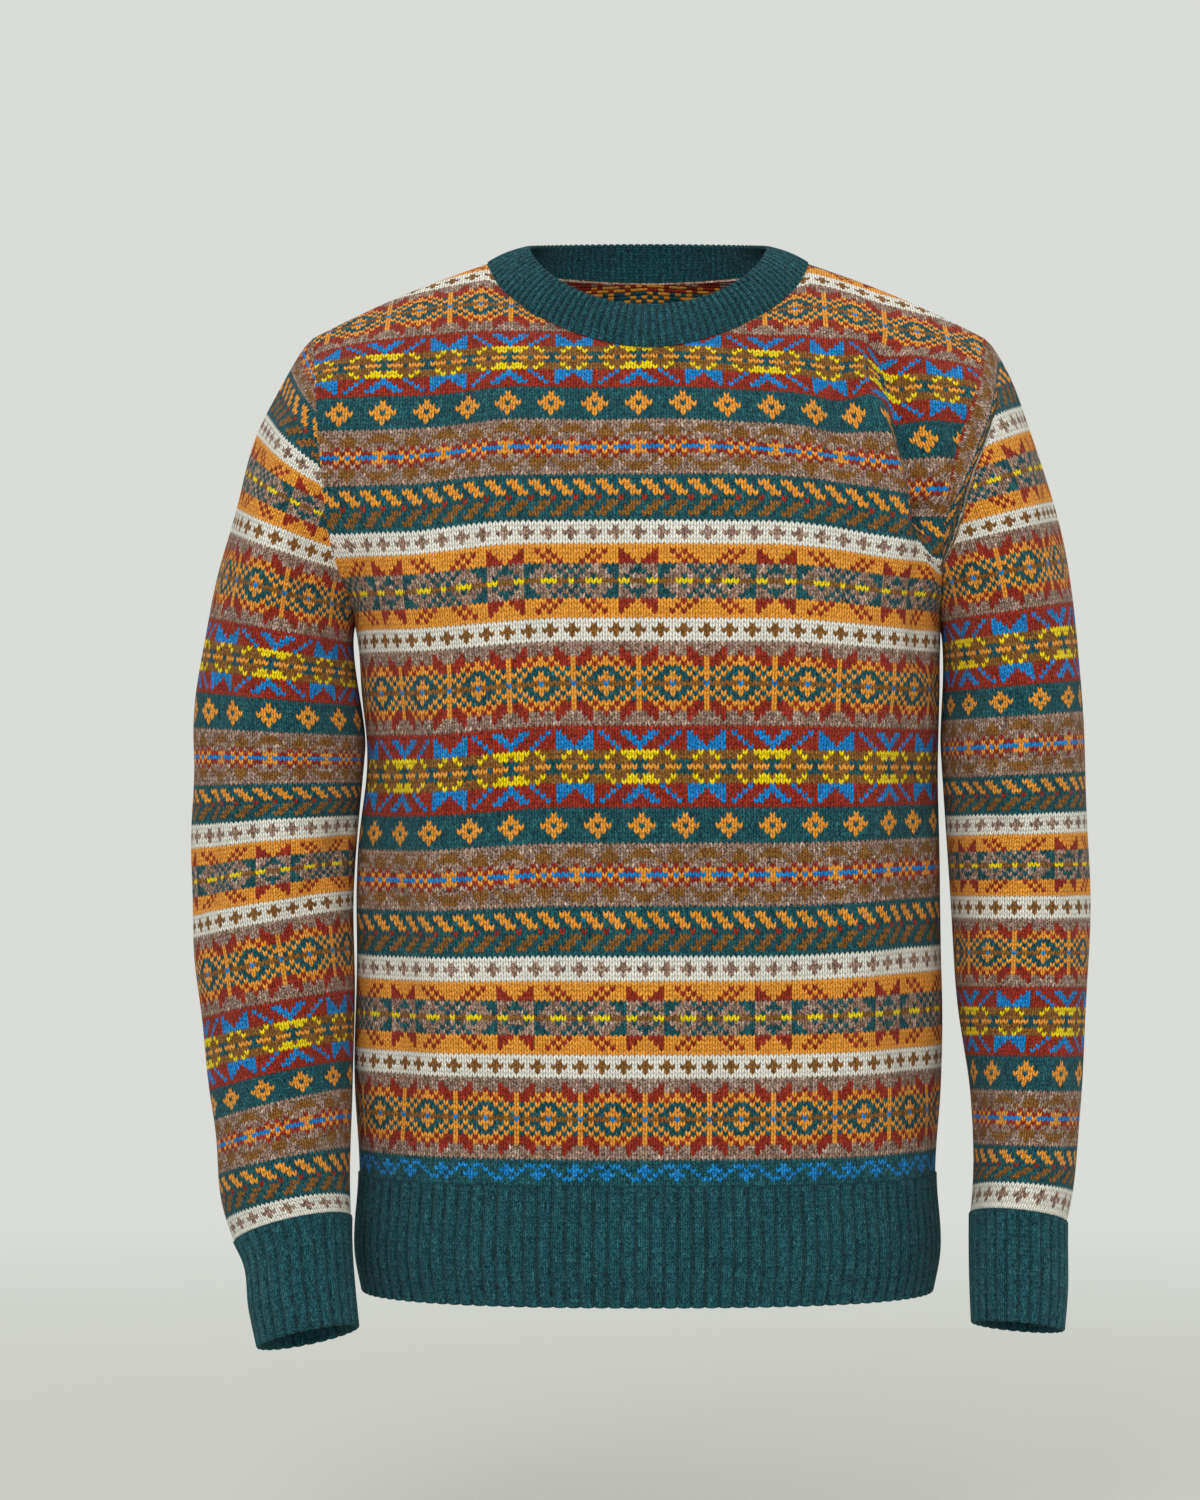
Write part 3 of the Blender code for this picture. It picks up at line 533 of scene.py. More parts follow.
def armhole(face, sign, shares):
    """Points of one armhole edge at shares of its length, from the underarm to the shoulder tip."""
    table = ARMHOLE_FRONT if face == "front" else ARMHOLE_BACK
    out = table[:, 2] if sign < 0 else table[:, 3]
    facing = -1 if face == "front" else 1
    knots = np.stack([sign * out, facing * table[:, 1], table[:, 0]], axis=1)
    keys = lengths_along(knots)
    line = smooth(keys, knots, np.linspace(0, keys[-1], EDGE_POINTS))
    return at_shares(line, shares)


def panel_surface(face, shares, rows):
    """The middle surface of a panel with no folds, as (columns, rows, 3).

    Below the underarm it follows the body sections. Above, each column is a cubic from the underarm's level
    to the shoulder seam or the neckline, and towards the edge it is drawn onto the armhole's own curve.
    """
    levels = np.linspace(HEM_TOP_Z, UNDERARM_Z, rows + 1)
    lower = np.stack([body_row(z, face, shares) for z in levels], axis=1)
    start = lower[:, -1]
    facing = -1 if face == "front" else 1

    out = np.abs(shares)
    on_neck = out < NECK_SHARE
    neck_share = np.clip(shares / NECK_SHARE, -1, 1)
    tip_share = np.clip((out - NECK_SHARE) / (1 - NECK_SHARE), 0, 1)
    end = np.where(on_neck[:, None], neckline(face, neck_share), shoulder_seam(np.sign(shares), tip_share))
    chord = np.linalg.norm(end - start, axis=1)[:, None]
    lean = np.radians(np.interp(out, [0, NECK_SHARE, 1], YOKE_LEANS))
    end_slope = np.stack([0 * out, -facing * np.sin(lean), np.cos(lean)], axis=1) * chord
    start_slope = np.array([0, 0, 1.0]) * chord * YOKE_START

    fine = np.linspace(0, 1, LINE_POINTS)[None, :, None]
    curves = cubic(start[:, None], start_slope[:, None], end[:, None], end_slope[:, None], fine)
    steps = np.linspace(0, 1, rows + 1)
    upper = np.stack([at_shares(curve, steps) for curve in curves])
    for sign, edge in ((-1, 0), (1, -1)):
        drawn = armhole(face, sign, steps) - upper[edge]
        weight = np.clip((out - PULL_FROM) / (1 - PULL_FROM), 0, 1) ** 2 * (shares * sign > 0)
        upper = upper + weight[:, None, None] * drawn
    return np.concatenate([lower, upper[:, 1:]], axis=1)


def grid_normals(grid, wraps=False):
    """Unit normals of a grid, across its columns and up its rows."""
    if wraps:
        across = np.roll(grid[:-1], -1, axis=0) - np.roll(grid[:-1], 1, axis=0)
        across = np.concatenate([across, across[:1]])
    else:
        across = np.gradient(grid, axis=0)
    return unit(np.cross(across, np.gradient(grid, axis=1)))


def raised(place, folds, panel):
    """Height of the folds at places (across, up).

    Each is its size times exp(-(off / half width)^2), where off is the distance from its straight line.
    Minus is a trough.
    """
    height = np.zeros(place.shape[:-1])
    for name, x0, z0, x1, z1, half_width, size in folds:
        if name != panel:
            continue
        start = np.array([x0, z0], float)
        run = np.array([x1, z1], float) - start
        along = ((place - start) @ run) / (run @ run)
        nearest = start + np.clip(along, 0, 1)[..., None] * run
        off = np.linalg.norm(place - nearest, axis=-1)
        height += size * np.exp(-((off / half_width) ** 2))
    return height


def slack(place, seed):
    """The cloth's own unevenness: a sum of long sine waves, SLACK_HEIGHT each, in random directions."""
    draw = np.random.default_rng(seed)
    height = np.zeros(place.shape[:-1])
    for length in SLACK_WAVES:
        turn, phase = draw.uniform(0, 2 * np.pi, 2)
        along = place[..., 0] * np.cos(turn) + place[..., 1] * np.sin(turn)
        height += SLACK_HEIGHT * np.sin(2 * np.pi * along / length + phase)
    return height


def worn_panel(face):
    """A fine panel with its folds and creases, as middle points and outward normals."""
    shares = np.linspace(-1, 1, PANEL_FINE + 1)
    grid = panel_surface(face, shares, PANEL_FINE_ROWS)
    outward = 1 if face == "front" else -1
    normals = grid_normals(grid) * outward
    place = grid[..., [0, 2]]
    across, up = np.meshgrid(shares, np.linspace(0, 1, grid.shape[1]), indexing="ij")
    fade = np.clip((1 - np.abs(across)) / SIDE_FADE, 0, 1)
    fade = fade * np.clip(np.minimum(up, 1 - up) / END_FADE, 0, 1)
    height = raised(place, BODY_FOLDS + BODY_CREASES, face) + slack(place, SEED + (outward > 0))
    to_side = (1 - np.abs(across)) * SEAM_SHARES_MM[0]
    to_top = (1 - up) * SEAM_SHARES_MM[1]
    dip = SEAM_DIP * np.exp(-((np.minimum(to_side, to_top) / SEAM_DIP_WIDTH) ** 2))
    grid = grid + normals * (height * fade - dip)[..., None]
    return grid, grid_normals(grid) * outward


def sleeve_ring(row, sign, angles):
    """One section of a sleeve: an oval at angles from the underarm by the front, in a plane that leans."""
    z, out, forward, half_width, half_depth, lean, roll = row
    lean, roll = np.radians([lean, roll])
    inward = -np.cos(angles) * half_width
    front = np.sin(angles) * half_depth
    x = sign * (out + inward)
    y = -forward - front * np.cos(lean)
    return np.stack([x, y, z + front * np.sin(lean) - inward * np.tan(roll)], axis=1)


def worn_sleeve(side):
    """A fine sleeve with its folds, as middle points and outward normals, from the cuff up to the armhole.

    The same points without folds come third, and the height of each point's ring fourth. The cap's lines
    are cubics that leave the armhole outwards and reach the first oval downwards. The columns start and end
    at the underarm and go round from left to right as seen from outside.
    """
    sign = -1 if side == "left" else 1
    table = SLEEVE_VIEWERS_LEFT if side == "left" else SLEEVE_VIEWERS_RIGHT
    half = TUBE_FINE // 2
    shares = np.linspace(0, 1, half + 1)
    ring = np.concatenate([armhole("front", sign, shares), armhole("back", sign, shares)[::-1][1:]])
    along = lengths_along(ring)
    angles = np.where(
        np.arange(len(ring)) < half,
        np.pi * along / along[half],
        np.pi + np.pi * (along - along[half]) / (along[-1] - along[half]),
    )
    keys = -table[:, 0]
    levels = np.linspace(keys[0], keys[-1], TUBE_FINE_ROWS + 1)
    stations = np.column_stack([-levels, smooth(keys, table[:, 1:], levels)])
    lower = np.stack([sleeve_ring(row, sign, angles) for row in stations], axis=1)

    end = lower[:, 0]
    down = unit(lower[:, 1] - lower[:, 0])
    outside = (1 - np.cos(angles)) / 2
    drop = CAP_DROP + CAP_DROP_OUTSIDE * outside + CAP_DROP_UNDERARM * (1 - outside) ** 4
    drop = np.radians(drop)[:, None]
    leave = np.column_stack([sign * np.cos(drop), -CAP_SPREAD * np.sin(angles), -np.sin(drop)])
    chord = np.linalg.norm(end - ring, axis=1)[:, None]
    leave = unit(leave) * chord * CAP_LEAVE
    arrive = down * chord * CAP_ARRIVE
    steps = np.linspace(0, 1, LINE_POINTS)[None, :, None]
    curves = cubic(ring[:, None], leave[:, None], end[:, None], arrive[:, None], steps)
    cap = np.stack([at_shares(curve, np.linspace(0, 1, TUBE_CAP_FINE + 1)) for curve in curves])
    grid = np.concatenate([cap, lower[:, 1:]], axis=1)
    plain = grid
    ring_heights = np.concatenate([cap[..., 2], np.tile(-levels[1:], (len(grid), 1))], axis=1)

    outward = -sign
    normals = grid_normals(grid, wraps=True) * outward
    share = np.linspace(0, 1, grid.shape[1])
    round_mm = np.degrees(angles) * SLEEVE_MM_PER_DEGREE
    place = np.stack(np.meshgrid(round_mm, share * SLEEVE_LENGTH, indexing="ij"), axis=-1)
    unrolled = np.array([SLEEVE_MM_PER_DEGREE, SLEEVE_LENGTH])
    folds = [
        (name, *(unrolled * fold[:2]), *(unrolled * fold[2:4]), *fold[4:])
        for name, *fold in SLEEVE_FOLDS + SLEEVE_CREASES
    ]
    height = raised(place, folds, side) + slack(place, SEED + 2 + (sign > 0)) * np.sin(angles / 2)[:, None]
    fade = np.clip(np.minimum(share, 1 - share) / END_FADE, 0, 1)
    dip = SEAM_DIP * np.exp(-((share * SLEEVE_LENGTH / SEAM_DIP_WIDTH) ** 2))
    grid = grid + normals * (height * fade - dip)[..., None]
    normals = grid_normals(grid, wraps=True) * outward
    made = [grid, normals, plain, ring_heights]
    return [part[::sign, ::-1] for part in made]


# --- Laying the stitches ---


def body_levels(face, plain):
    """Which course each point of a panel lies on, as the distance from the hem that it has in the middle.

    Up to COURSES_SAG_TO, points of one course lie at one height, less their sag towards the sides. From
    there each column goes on by its own length.
    """
    middle = plain[len(plain) // 2]
    x, z = plain[..., 0], plain[..., 2]
    left, right = smooth(COURSE_SAG[:, 0], COURSE_SAG[:, 1:], z).T.transpose(0, 2, 1)
    if face == "back":
        sag = (left + right) / 2 * smoothstep((np.abs(x) - BACK_SAG_STARTS) / BACK_SAG_WIDTH)
    else:
        left_starts = straight(LEFT_SAG_STARTS, z)
        right_starts = straight(RIGHT_SAG_STARTS, z)
        sag = left * smoothstep((-x - left_starts) / (SAG_WHOLE[0] - left_starts))
        sag += right * smoothstep((x - right_starts) / (SAG_WHOLE[1] - right_starts))
        off = line_side(plain[..., [0, 2]], TUCK_FROM, TUCK_TO) / straight(TUCK_WIDTH, z)
        sag += TUCK_DROP * smoothstep(off + TUCK_LEAD) * smoothstep((z - TUCK_END_Z) / TUCK_END_FADE)
        sag += raised(plain[..., [0, 2]], COURSE_WAVES, face)
    along = lengths_along(middle)
    by_height = np.diff(np.interp(z + sag, middle[:, 2], along), axis=1)
    by_length = np.linalg.norm(np.diff(plain, axis=1), axis=2) + np.diff(sag, axis=1)
    over = smoothstep((z[:, 1:] - COURSES_SAG_TO) / COURSES_SAG_FADE)
    steps = np.maximum(by_height * (1 - over) + by_length * over, 0)
    return np.pad(np.cumsum(steps, axis=1), ((0, 0), (1, 0)))


def front_drift(place):
    """How far the front's pattern is drawn to the left: at each height, straight between three places."""
    rows = smooth(PATTERN_DRIFT[:, 0], PATTERN_DRIFT[:, 1:], place[..., 2])
    left, middle, right = np.moveaxis(rows, -1, 0)
    away = np.clip(place[..., 0] / DRIFT_REACH, -1, 1)
    return middle + np.where(away < 0, left - middle, right - middle) * np.abs(away)


def line_side(place, start, end):
    """How far places lie to the right of the line that goes down from start to end."""
    start, end = np.array(start, float), np.array(end, float)
    run = unit(end - start)
    return (place[..., 1] - start[1]) * run[0] - (place[..., 0] - start[0]) * run[1]


def sleeve_levels(side, plain, ring_heights):
    """Which course each point of a sleeve lies on, as the height that the course has at the outer line.

    Round the sleeve a course leaves its ring by COURSE_FLAT and slopes towards the body by COURSE_SLOPE. On
    the right-hand sleeve the last courses also run along the armhole, in a strip beside the seam.
    """
    outer = plain[len(plain) // 2]
    column = 1 if side == "left" else 2
    ends = smoothstep((ring_heights - ring_heights[0, 0]) / CUFF_FADE)
    flat = COURSE_FLAT[column - 1] * ends
    height = ring_heights * (1 - flat) + plain[..., 2] * flat
    slope = smooth(COURSE_SLOPE[:, 0], COURSE_SLOPE[:, column], height) * ends
    reach = np.interp(height, outer[:, 2], np.abs(outer[:, 0])) - np.abs(plain[..., 0])
    level = height + slope * np.maximum(reach, 0)
    if side == "right":
        steps = np.linalg.norm(np.diff(plain, axis=1), axis=2)
        to_seam = np.pad(np.cumsum(steps[:, ::-1], axis=1)[:, ::-1], ((0, 0), (0, 1)))
        level = np.maximum(level, strip_levels(to_seam, plain[..., 2]))
    return np.maximum.accumulate(level, axis=1)


def strip_levels(to_seam, height):
    """Which course the strip beside the armhole gives to places at a distance from the seam and a height.

    The place across the strip runs from 0 to 1 over band e and from 1 to 2 over band F.
    """
    first, second = (straight(SEAM_STRIP, height, column) for column in (1, 2))
    in_first = to_seam / np.maximum(first, 0.01)
    in_second = 1 + (to_seam - first) / np.maximum(second - first, 0.01)
    past = 2 + to_seam - second
    place = np.where(to_seam < first, in_first, np.where(to_seam < second, in_second, past))
    return straight(STRIP_LEVELS, place)


def lay_wales(grid, normals, levels_at, levels, wale):
    """Points and normals of each course on each column of a fine grid, and their wale numbers.

    On a column a course lies where levels_at reaches its level, and past the column's end it stays at the
    end, so a course that runs into a seam follows it. Along a course the wales are counted from the middle
    by its length over a wale's width, and over a neck opening by the distance from the middle.
    """
    columns = grid.shape[0]
    both = np.concatenate([grid, normals], axis=2)
    laid = np.empty((len(levels), columns, 6))
    for i in range(columns):
        for k in range(6):
            laid[:, i, k] = np.interp(levels, levels_at[i], both[i, :, k])
    live = levels[:, None] <= levels_at[None, :, -1]
    middle = columns // 2
    count = np.zeros((len(levels), columns))
    for sign, order in ((1, np.arange(middle, columns)), (-1, np.arange(middle, -1, -1))):
        line, on = laid[:, order, :3], live[:, order]
        steps = np.linalg.norm(np.diff(line, axis=1), axis=2) * (on[:, 1:] & on[:, :-1])
        reach = np.concatenate([np.zeros((len(levels), 1)), np.cumsum(steps, axis=1)], axis=1)
        first = np.argmax(on, axis=1)
        start = np.abs(line[np.arange(len(levels)), first, 0]) * (first > 0)
        found = (reach + start[:, None]) / wale[:, None]
        for k in range(1, len(levels)):
            found[k] = np.where(on[k], found[k], found[k - 1])
        count[:, order] = sign * np.maximum.accumulate(found, axis=1)
    return laid, count


def stitch_grid(grid, normals, levels_at, bottom, tops, half_wales, wale_table, drift=None):
    """The middle points and normals of a piece's stitches: two columns to a wale, one row to a course edge.

    Whole wales, the middles of the stitches, have their rows on the courses' edges, and the lines between
    the wales have theirs LEG_SLANT higher, which gives each stitch its V. Past the sides of the piece both
    stay on its edge, level with the course. drift is a function that says how far the wales are drawn left.
    """
    edges = np.arange(len(tops) + 1)
    starts = np.concatenate([[bottom], tops, [tops[-1] + COURSE]])
    places = np.arange(-2 * half_wales, 2 * half_wales + 1) / 2
    between = np.arange(len(places)) % 2 == 1
    laid_out = []
    for lift in (0.0, LEG_SLANT):
        levels = np.interp(edges + lift * (edges > 0), np.arange(len(starts)), starts)
        middle_heights = np.interp(levels, levels_at[len(grid) // 2], grid[len(grid) // 2, :, 2])
        wale = straight(wale_table, middle_heights)
        laid, count = lay_wales(grid, normals, levels_at, levels, wale)
        if drift:
            count = count + drift(laid[..., :3]) / wale[:, None]
        found = np.empty((len(places), len(edges), 6))
        for row in range(len(levels)):
            for k in range(6):
                found[:, row, k] = np.interp(places, count[row], laid[row, :, k])
        inside = (places[:, None] > count[:, 0]) & (places[:, None] < count[:, -1])
        laid_out.append((found, inside))
    lifted = between[:, None] & laid_out[0][1] & laid_out[1][1]
    out = np.where(lifted[..., None], laid_out[1][0], laid_out[0][0])
    return out[..., :3], unit(out[..., 3:])


def yarn_table():
    """For each yarn, in the order of YARNS: plain, dark and light colours and the melange's strength."""
    colours = [np.array([linear(yarn[k]) for yarn in YARNS.values()]) for k in range(3)]
    return *colours, np.array([yarn[3] for yarn in YARNS.values()])


def leg_colours(yarns, draw):
    """Each leg's shade, between its yarn's darker and lighter fibres by a random draw, and its melange."""
    plain, dark, light, strength = yarn_table()
    melange = strength[yarns][:, None]
    amount = np.clip(draw.normal(0, LEG_SPREAD, len(yarns)), -1, 1)[:, None] * melange
    towards = np.where(amount < 0, dark[yarns], light[yarns])
    return np.concatenate([plain[yarns] + (towards - plain[yarns]) * np.abs(amount), melange], axis=1)


def charted(columns, rows, courses, half_wales):
    """The yarn of each leg, read in its course's repeat at its wale's number, and another of the course."""
    letters = "".join(YARNS)
    wale = (columns - 2 * half_wales + 1) // 2
    yarns = np.zeros(len(columns), int)
    others = np.zeros(len(columns), int)
    for row, (repeat, shift) in enumerate(courses):
        here = rows == row
        codes = np.array([letters.index(letter) for letter in repeat])
        yarns[here] = codes[(wale[here] + shift) % len(repeat)]
        used = np.unique(codes)
        others[here] = used[(np.searchsorted(used, yarns[here]) + 1) % len(used)]
    return yarns, others


# --- Meshes ---


def shell_faces(columns, rows, parts, tube):
    """Faces of a closed wall over a grid: outer skin, inner skin with parts times fewer columns, and rims.

    A tube needs no rims at its sides, where its first and last columns meet. Returns corner indices (n, 4),
    a face's column, its row, and its side: 0 outside, 1 inside, 2 rim.
    """
    base = columns * rows
    inner_columns = (columns - 1) // parts + 1

    def skin(count, first, turned):
        """Quads between neighbouring points of one skin, and the column and row of each."""
        i, j = (a.ravel() for a in np.meshgrid(np.arange(count - 1), np.arange(rows - 1), indexing="ij"))
        a = first + i * rows + j
        quads = np.stack([a, a + rows, a + rows + 1, a + 1], axis=1)
        return (quads[:, ::-1] if turned else quads), i, j

    found = []
    quads, i, j = skin(columns, 0, False)
    found.append((quads, i, j, 0))
    quads, i, j = skin(inner_columns, base, True)
    found.append((quads, i * parts, j, 1))
    for row, turned in ((0, True), (rows - 1, False)):
        i = np.arange(columns - 1)
        outer = i * rows + row
        inner = base + (i // parts) * rows + row
        after = base + np.minimum(i // parts + (i % parts == parts - 1), inner_columns - 1) * rows + row
        quads = np.stack([outer, outer + rows, after, inner], axis=1)
        found.append((quads[:, ::-1] if turned else quads, i, np.full(len(i), min(row, rows - 2)), 2))
    for column, turned in [] if tube else [(0, False), (columns - 1, True)]:
        j = np.arange(rows - 1)
        outer = column * rows + j
        inner = base + (column // parts) * rows + j
        quads = np.stack([outer, outer + 1, inner + 1, inner], axis=1)
        found.append((quads[:, ::-1] if turned else quads, np.full(len(j), min(column, columns - 2)), j, 2))
    faces = np.concatenate([part[0] for part in found])
    column = np.concatenate([part[1] for part in found])
    row = np.concatenate([part[2] for part in found])
    side = np.concatenate([np.full(len(part[0]), part[3]) for part in found])
    return faces, column, row, side


def weld(points, faces):
    """Merges points that round to one multiple of WELD, and finds the corners of the faces that stay."""
    cells = np.round(points / WELD).astype(np.int64)
    _, first, index = np.unique(cells, axis=0, return_index=True, return_inverse=True)
    faces = index.reshape(-1)[faces]
    keep = faces != np.roll(faces, -1, axis=1)
    crossed = (faces[:, 0] == faces[:, 2]) | (faces[:, 1] == faces[:, 3])
    keep[crossed | (keep.sum(axis=1) < 3)] = False
    return points[first], faces, keep


def link_piece(name, points, faces, uv, colours, slots, materials):
    """Adds one welded mesh, in metres, with its stitch coordinates, yarn colours and material slots.

    The fourth number of a colour is how strongly the yarn's melange shows.
    """
    points, faces, keep = weld(points, faces)
    used = keep.any(axis=1)
    corners = keep.sum(axis=1)[used]
    mesh = bpy.data.meshes.new(name)
    mesh.vertices.add(len(points))
    mesh.vertices.foreach_set("co", (points * MM).astype(np.float32).ravel())
    mesh.loops.add(int(corners.sum()))
    mesh.loops.foreach_set("vertex_index", faces[keep].astype(np.int32))
    mesh.polygons.add(len(corners))
    mesh.polygons.foreach_set("loop_start", (np.cumsum(corners) - corners).astype(np.int32))
    mesh.polygons.foreach_set("material_index", slots[used].astype(np.int32))
    mesh.update(calc_edges=True)
    layer = mesh.uv_layers.new(name="stitches")
    layer.data.foreach_set("uv", uv[keep].astype(np.float32).ravel())
    shade = np.repeat(colours[used], corners, axis=0)
    attribute = mesh.color_attributes.new("yarn", "FLOAT_COLOR", "CORNER")
    attribute.data.foreach_set("color", shade.astype(np.float32).ravel())
    mesh.shade_smooth()
    mesh.set_sharp_from_angle(angle=np.radians(SHARP_ANGLE))
    for material in materials:
        mesh.materials.append(material)
    piece = bpy.data.objects.new(name, mesh)
    bpy.context.scene.collection.objects.link(piece)
    return piece


def corner_uv(column, row, turned):
    """Stitch coordinates at a face's corners: the grid's column and row numbers."""
    across = np.array([0, 1, 1, 0])
    up = np.array([0, 0, 1, 1])
    if turned:
        across, up = across[::-1], up[::-1]
    return np.stack([column[:, None] + across, row[:, None] + up], axis=2).astype(float)


def shell_uv(column, row, side, parts):
    """Stitch coordinates of a whole wall: skins by grid place, rims by the middle of their leg."""
    uv = corner_uv(column, row, False)
    inside = side == 1
    uv[inside] = corner_uv(column[inside], row[inside], True)
    uv[inside, :, 0] = column[inside, None] + parts * (uv[inside, :, 0] - column[inside, None])
    rim = side == 2
    uv[rim] = np.stack([column[rim] + 0.5, row[rim] + 0.5], axis=1)[:, None, :]
    return uv


def link_knit(name, grid, normals, courses, half_wales, seed, tube):
    """A stranded knit piece, half of WALL to each side: legs in charted colours outside, floats inside."""
    columns, rows = grid.shape[:2]
    outer = grid + normals * WALL / 2
    inner = (grid - normals * WALL / 2)[::FLOAT_LEGS]
    faces, column, row, side = shell_faces(columns, rows, FLOAT_LEGS, tube)
    points = np.concatenate([outer.reshape(-1, 3), inner.reshape(-1, 3)])
    draw = np.random.default_rng(seed)
    yarns, others = charted(column, row, courses, half_wales)
    floats = (side == 1) & (draw.random(len(side)) < FLOAT_SHARE)
    colours = leg_colours(np.where(floats, others, yarns), draw)
    uv = shell_uv(column, row, side, FLOAT_LEGS)
    materials = [knit_material(), float_material()]
    return link_piece(name, points, faces, uv, colours, (side == 1).astype(int), materials)


def course_tops(bands, bottom):
    """Height of the top of each course of stacked bands, evenly spaced within a band."""
    tops, below = [], bottom
    for band, top in bands:
        count = len(chart_rows(band))
        tops += list(below + (top - below) * (np.arange(count) + 1) / count)
        below = top
    return np.array(tops)


def make_body():
    """Both panels, from the hem's rib up to the shoulders."""
    courses = courses_of([band for band, _ in BODY_BANDS + BANDS_ABOVE])
    shares = np.linspace(-1, 1, PANEL_FINE + 1)
    middle = panel_surface("front", shares, PANEL_FINE_ROWS)[PANEL_FINE // 2]
    tops = np.interp(course_tops(BODY_BANDS, HEM_TOP_Z), middle[:, 2], lengths_along(middle))
    above = np.concatenate([[course] * len(chart_rows(band)) for band, course in BANDS_ABOVE])
    tops = np.concatenate([tops, tops[-1] + np.cumsum(above)])
    made = {}
    for face in ("front", "back"):
        grid, normals = worn_panel(face)
        levels_at = body_levels(face, panel_surface(face, shares, PANEL_FINE_ROWS))
        if face == "back":
            grid, normals, levels_at = grid[::-1], normals[::-1], levels_at[::-1]
        drift = front_drift if face == "front" else None
        stitches = stitch_grid(grid, normals, levels_at, 0.0, tops, HALF_PANEL_WALES, BODY_WALE, drift)
        name, seed = f"{face}_knit", SEED + len(face)
        made[face] = link_knit(name, *stitches, courses, HALF_PANEL_WALES, seed, tube=False)
    return made


def make_sleeve(side, name):
    """One knitted sleeve, from its cuff up to the armhole. It loses its wales along the underarm."""
    grid, normals, plain, ring_heights = worn_sleeve(side)
    levels_at = sleeve_levels(side, plain, ring_heights)
    bands = SLEEVE_BANDS[side]
    courses = courses_of([band for band, _ in bands], SLEEVE_CHART_SHIFT[side])
    bottom = ring_heights[0, 0]
    tops = course_tops(bands, bottom)
    stitches = stitch_grid(grid, normals, levels_at, bottom, tops, SLEEVE_HALF_WALES, SLEEVE_WALE)
    return link_knit(name, *stitches, courses, SLEEVE_HALF_WALES, SEED + len(name), tube=True)


def rolled(middle, normals, height, edge):
    """Outer and inner skins of a rib, joined by a round roll past its free edge, 'low' or 'high'."""
    outer = middle + normals * height[..., None]
    inner = middle - normals * RIB_WALL / 2
    row, before = (0, 1) if edge == "low" else (-1, -2)
    out = unit(middle[:, row] - middle[:, before])
    centre = (outer[:, row] + inner[:, row]) / 2
    half = (outer[:, row] - inner[:, row]) / 2
    radius = np.linalg.norm(half, axis=1)[:, None]
    turns = np.radians(ROLL_TURNS)
    bend = [centre + half * np.cos(turn) + out * radius * np.sin(turn) for turn in turns]
    under = [centre - half * np.cos(turn) + out * radius * np.sin(turn) for turn in turns]
    skins = []
    for skin, roll in ((outer, bend), (inner, under)):
        parts = [np.stack(roll[::-1], axis=1), skin] if edge == "low" else [skin, np.stack(roll, axis=1)]
        skins.append(np.concatenate(parts, axis=1))
    return skins


def link_rib(name, middle, normals, cells, legs, edge, seed, tube):
    """A ribbed piece: ridge = |sin(pi u)|^RIDGE_POWER over each rib u.

    The first and the last leg of each rib are its purl wale, deep between the ridges, with painted shade in
    their colour.
    """
    columns, rows = middle.shape[:2]
    u = (np.arange(columns) % cells) / cells
    ridge = np.abs(np.sin(np.pi * u)) ** RIDGE_POWER
    height = RIB_WALL / 2 + RIB_RAISED * ridge[:, None] * np.ones(rows)
    outer, inner = rolled(middle, normals, height, edge)
    rows = outer.shape[1]
    faces, column, row, side = shell_faces(columns, rows, 1, tube)
    points = np.concatenate([outer.reshape(-1, 3), inner.reshape(-1, 3)])
    uv = shell_uv(column, row, side, 1)
    leg = uv[..., 0] * legs / cells
    uv[..., 0] = leg
    uv[..., 1] += LEG_SLANT * np.abs((leg + 1) % 2 - 1)
    draw = np.random.default_rng(seed)
    per_leg = cells // legs
    block = (column // per_leg) * rows + row
    shades = leg_colours(np.zeros(columns * rows, int), draw)
    # Painted shade: the purl legs between the ribs are darkened in their yarn colour
    painted_groove_legs = np.isin(np.arange(columns) % legs, (0, legs - 1))
    shades[:, :3] *= np.where(np.repeat(painted_groove_legs, rows), PAINTED_GROOVE_SHADE, 1.0)[:, None]
    return link_piece(name, points, faces, uv, shades[block], np.zeros(len(faces), int), [rib_material()])


def make_hem(face):
    """One half of the ribbed hem."""
    shares = np.linspace(-1, 1, HEM_RIBS * RIB_CELLS + 1)
    levels = np.linspace(HEM_BOTTOM_Z, HEM_TOP_Z, RIB_COURSES + 1)
    grid = np.stack([body_row(z, face, shares) for z in levels], axis=1)
    if face == "back":
        grid = grid[::-1]
    name, seed = f"{face}_hem_rib_knit", SEED + 20 + len(face)
    return link_rib(name, grid, grid_normals(grid), RIB_CELLS, RIB_LEGS, "low", seed, tube=False)


def make_cuff(side, name):
    """A ribbed cuff: the sleeve's last ring carried on along the arm and drawn in."""
    sign = -1 if side == "left" else 1
    table = SLEEVE_VIEWERS_LEFT if side == "left" else SLEEVE_VIEWERS_RIGHT
    lean = np.radians(table[-1, 5])
    arm = np.array([0, -np.sin(lean), -np.cos(lean)])
    centre = np.array([sign * table[-1, 1], -table[-1, 2], table[-1, 0]])
    columns = CUFF_RIBS * RIB_CELLS
    turns = np.linspace(0, 2 * np.pi, columns + 1) * sign
    ring = sleeve_ring(table[-1], sign, turns)
    rings = []
    for distance in np.linspace(CUFF[-1, 0], 0, RIB_COURSES - 1):
        left_width, right_width, depth, tilt, *drifts = smooth(CUFF[:, 0], CUFF[:, 1:], distance)
        width, drift = (left_width, drifts[0]) if side == "left" else (right_width, drifts[1])
        scale = np.array([width, depth, tilt])
        rings.append(centre + (ring - centre) * scale + arm * distance - np.array([sign * drift, 0, 0]))
    grid = np.stack(rings, axis=1)
    normals, seed = grid_normals(grid, wraps=True), SEED + 30 + len(name)
    return link_rib(name, grid, normals, RIB_CELLS, RIB_LEGS, "low", seed, tube=True)


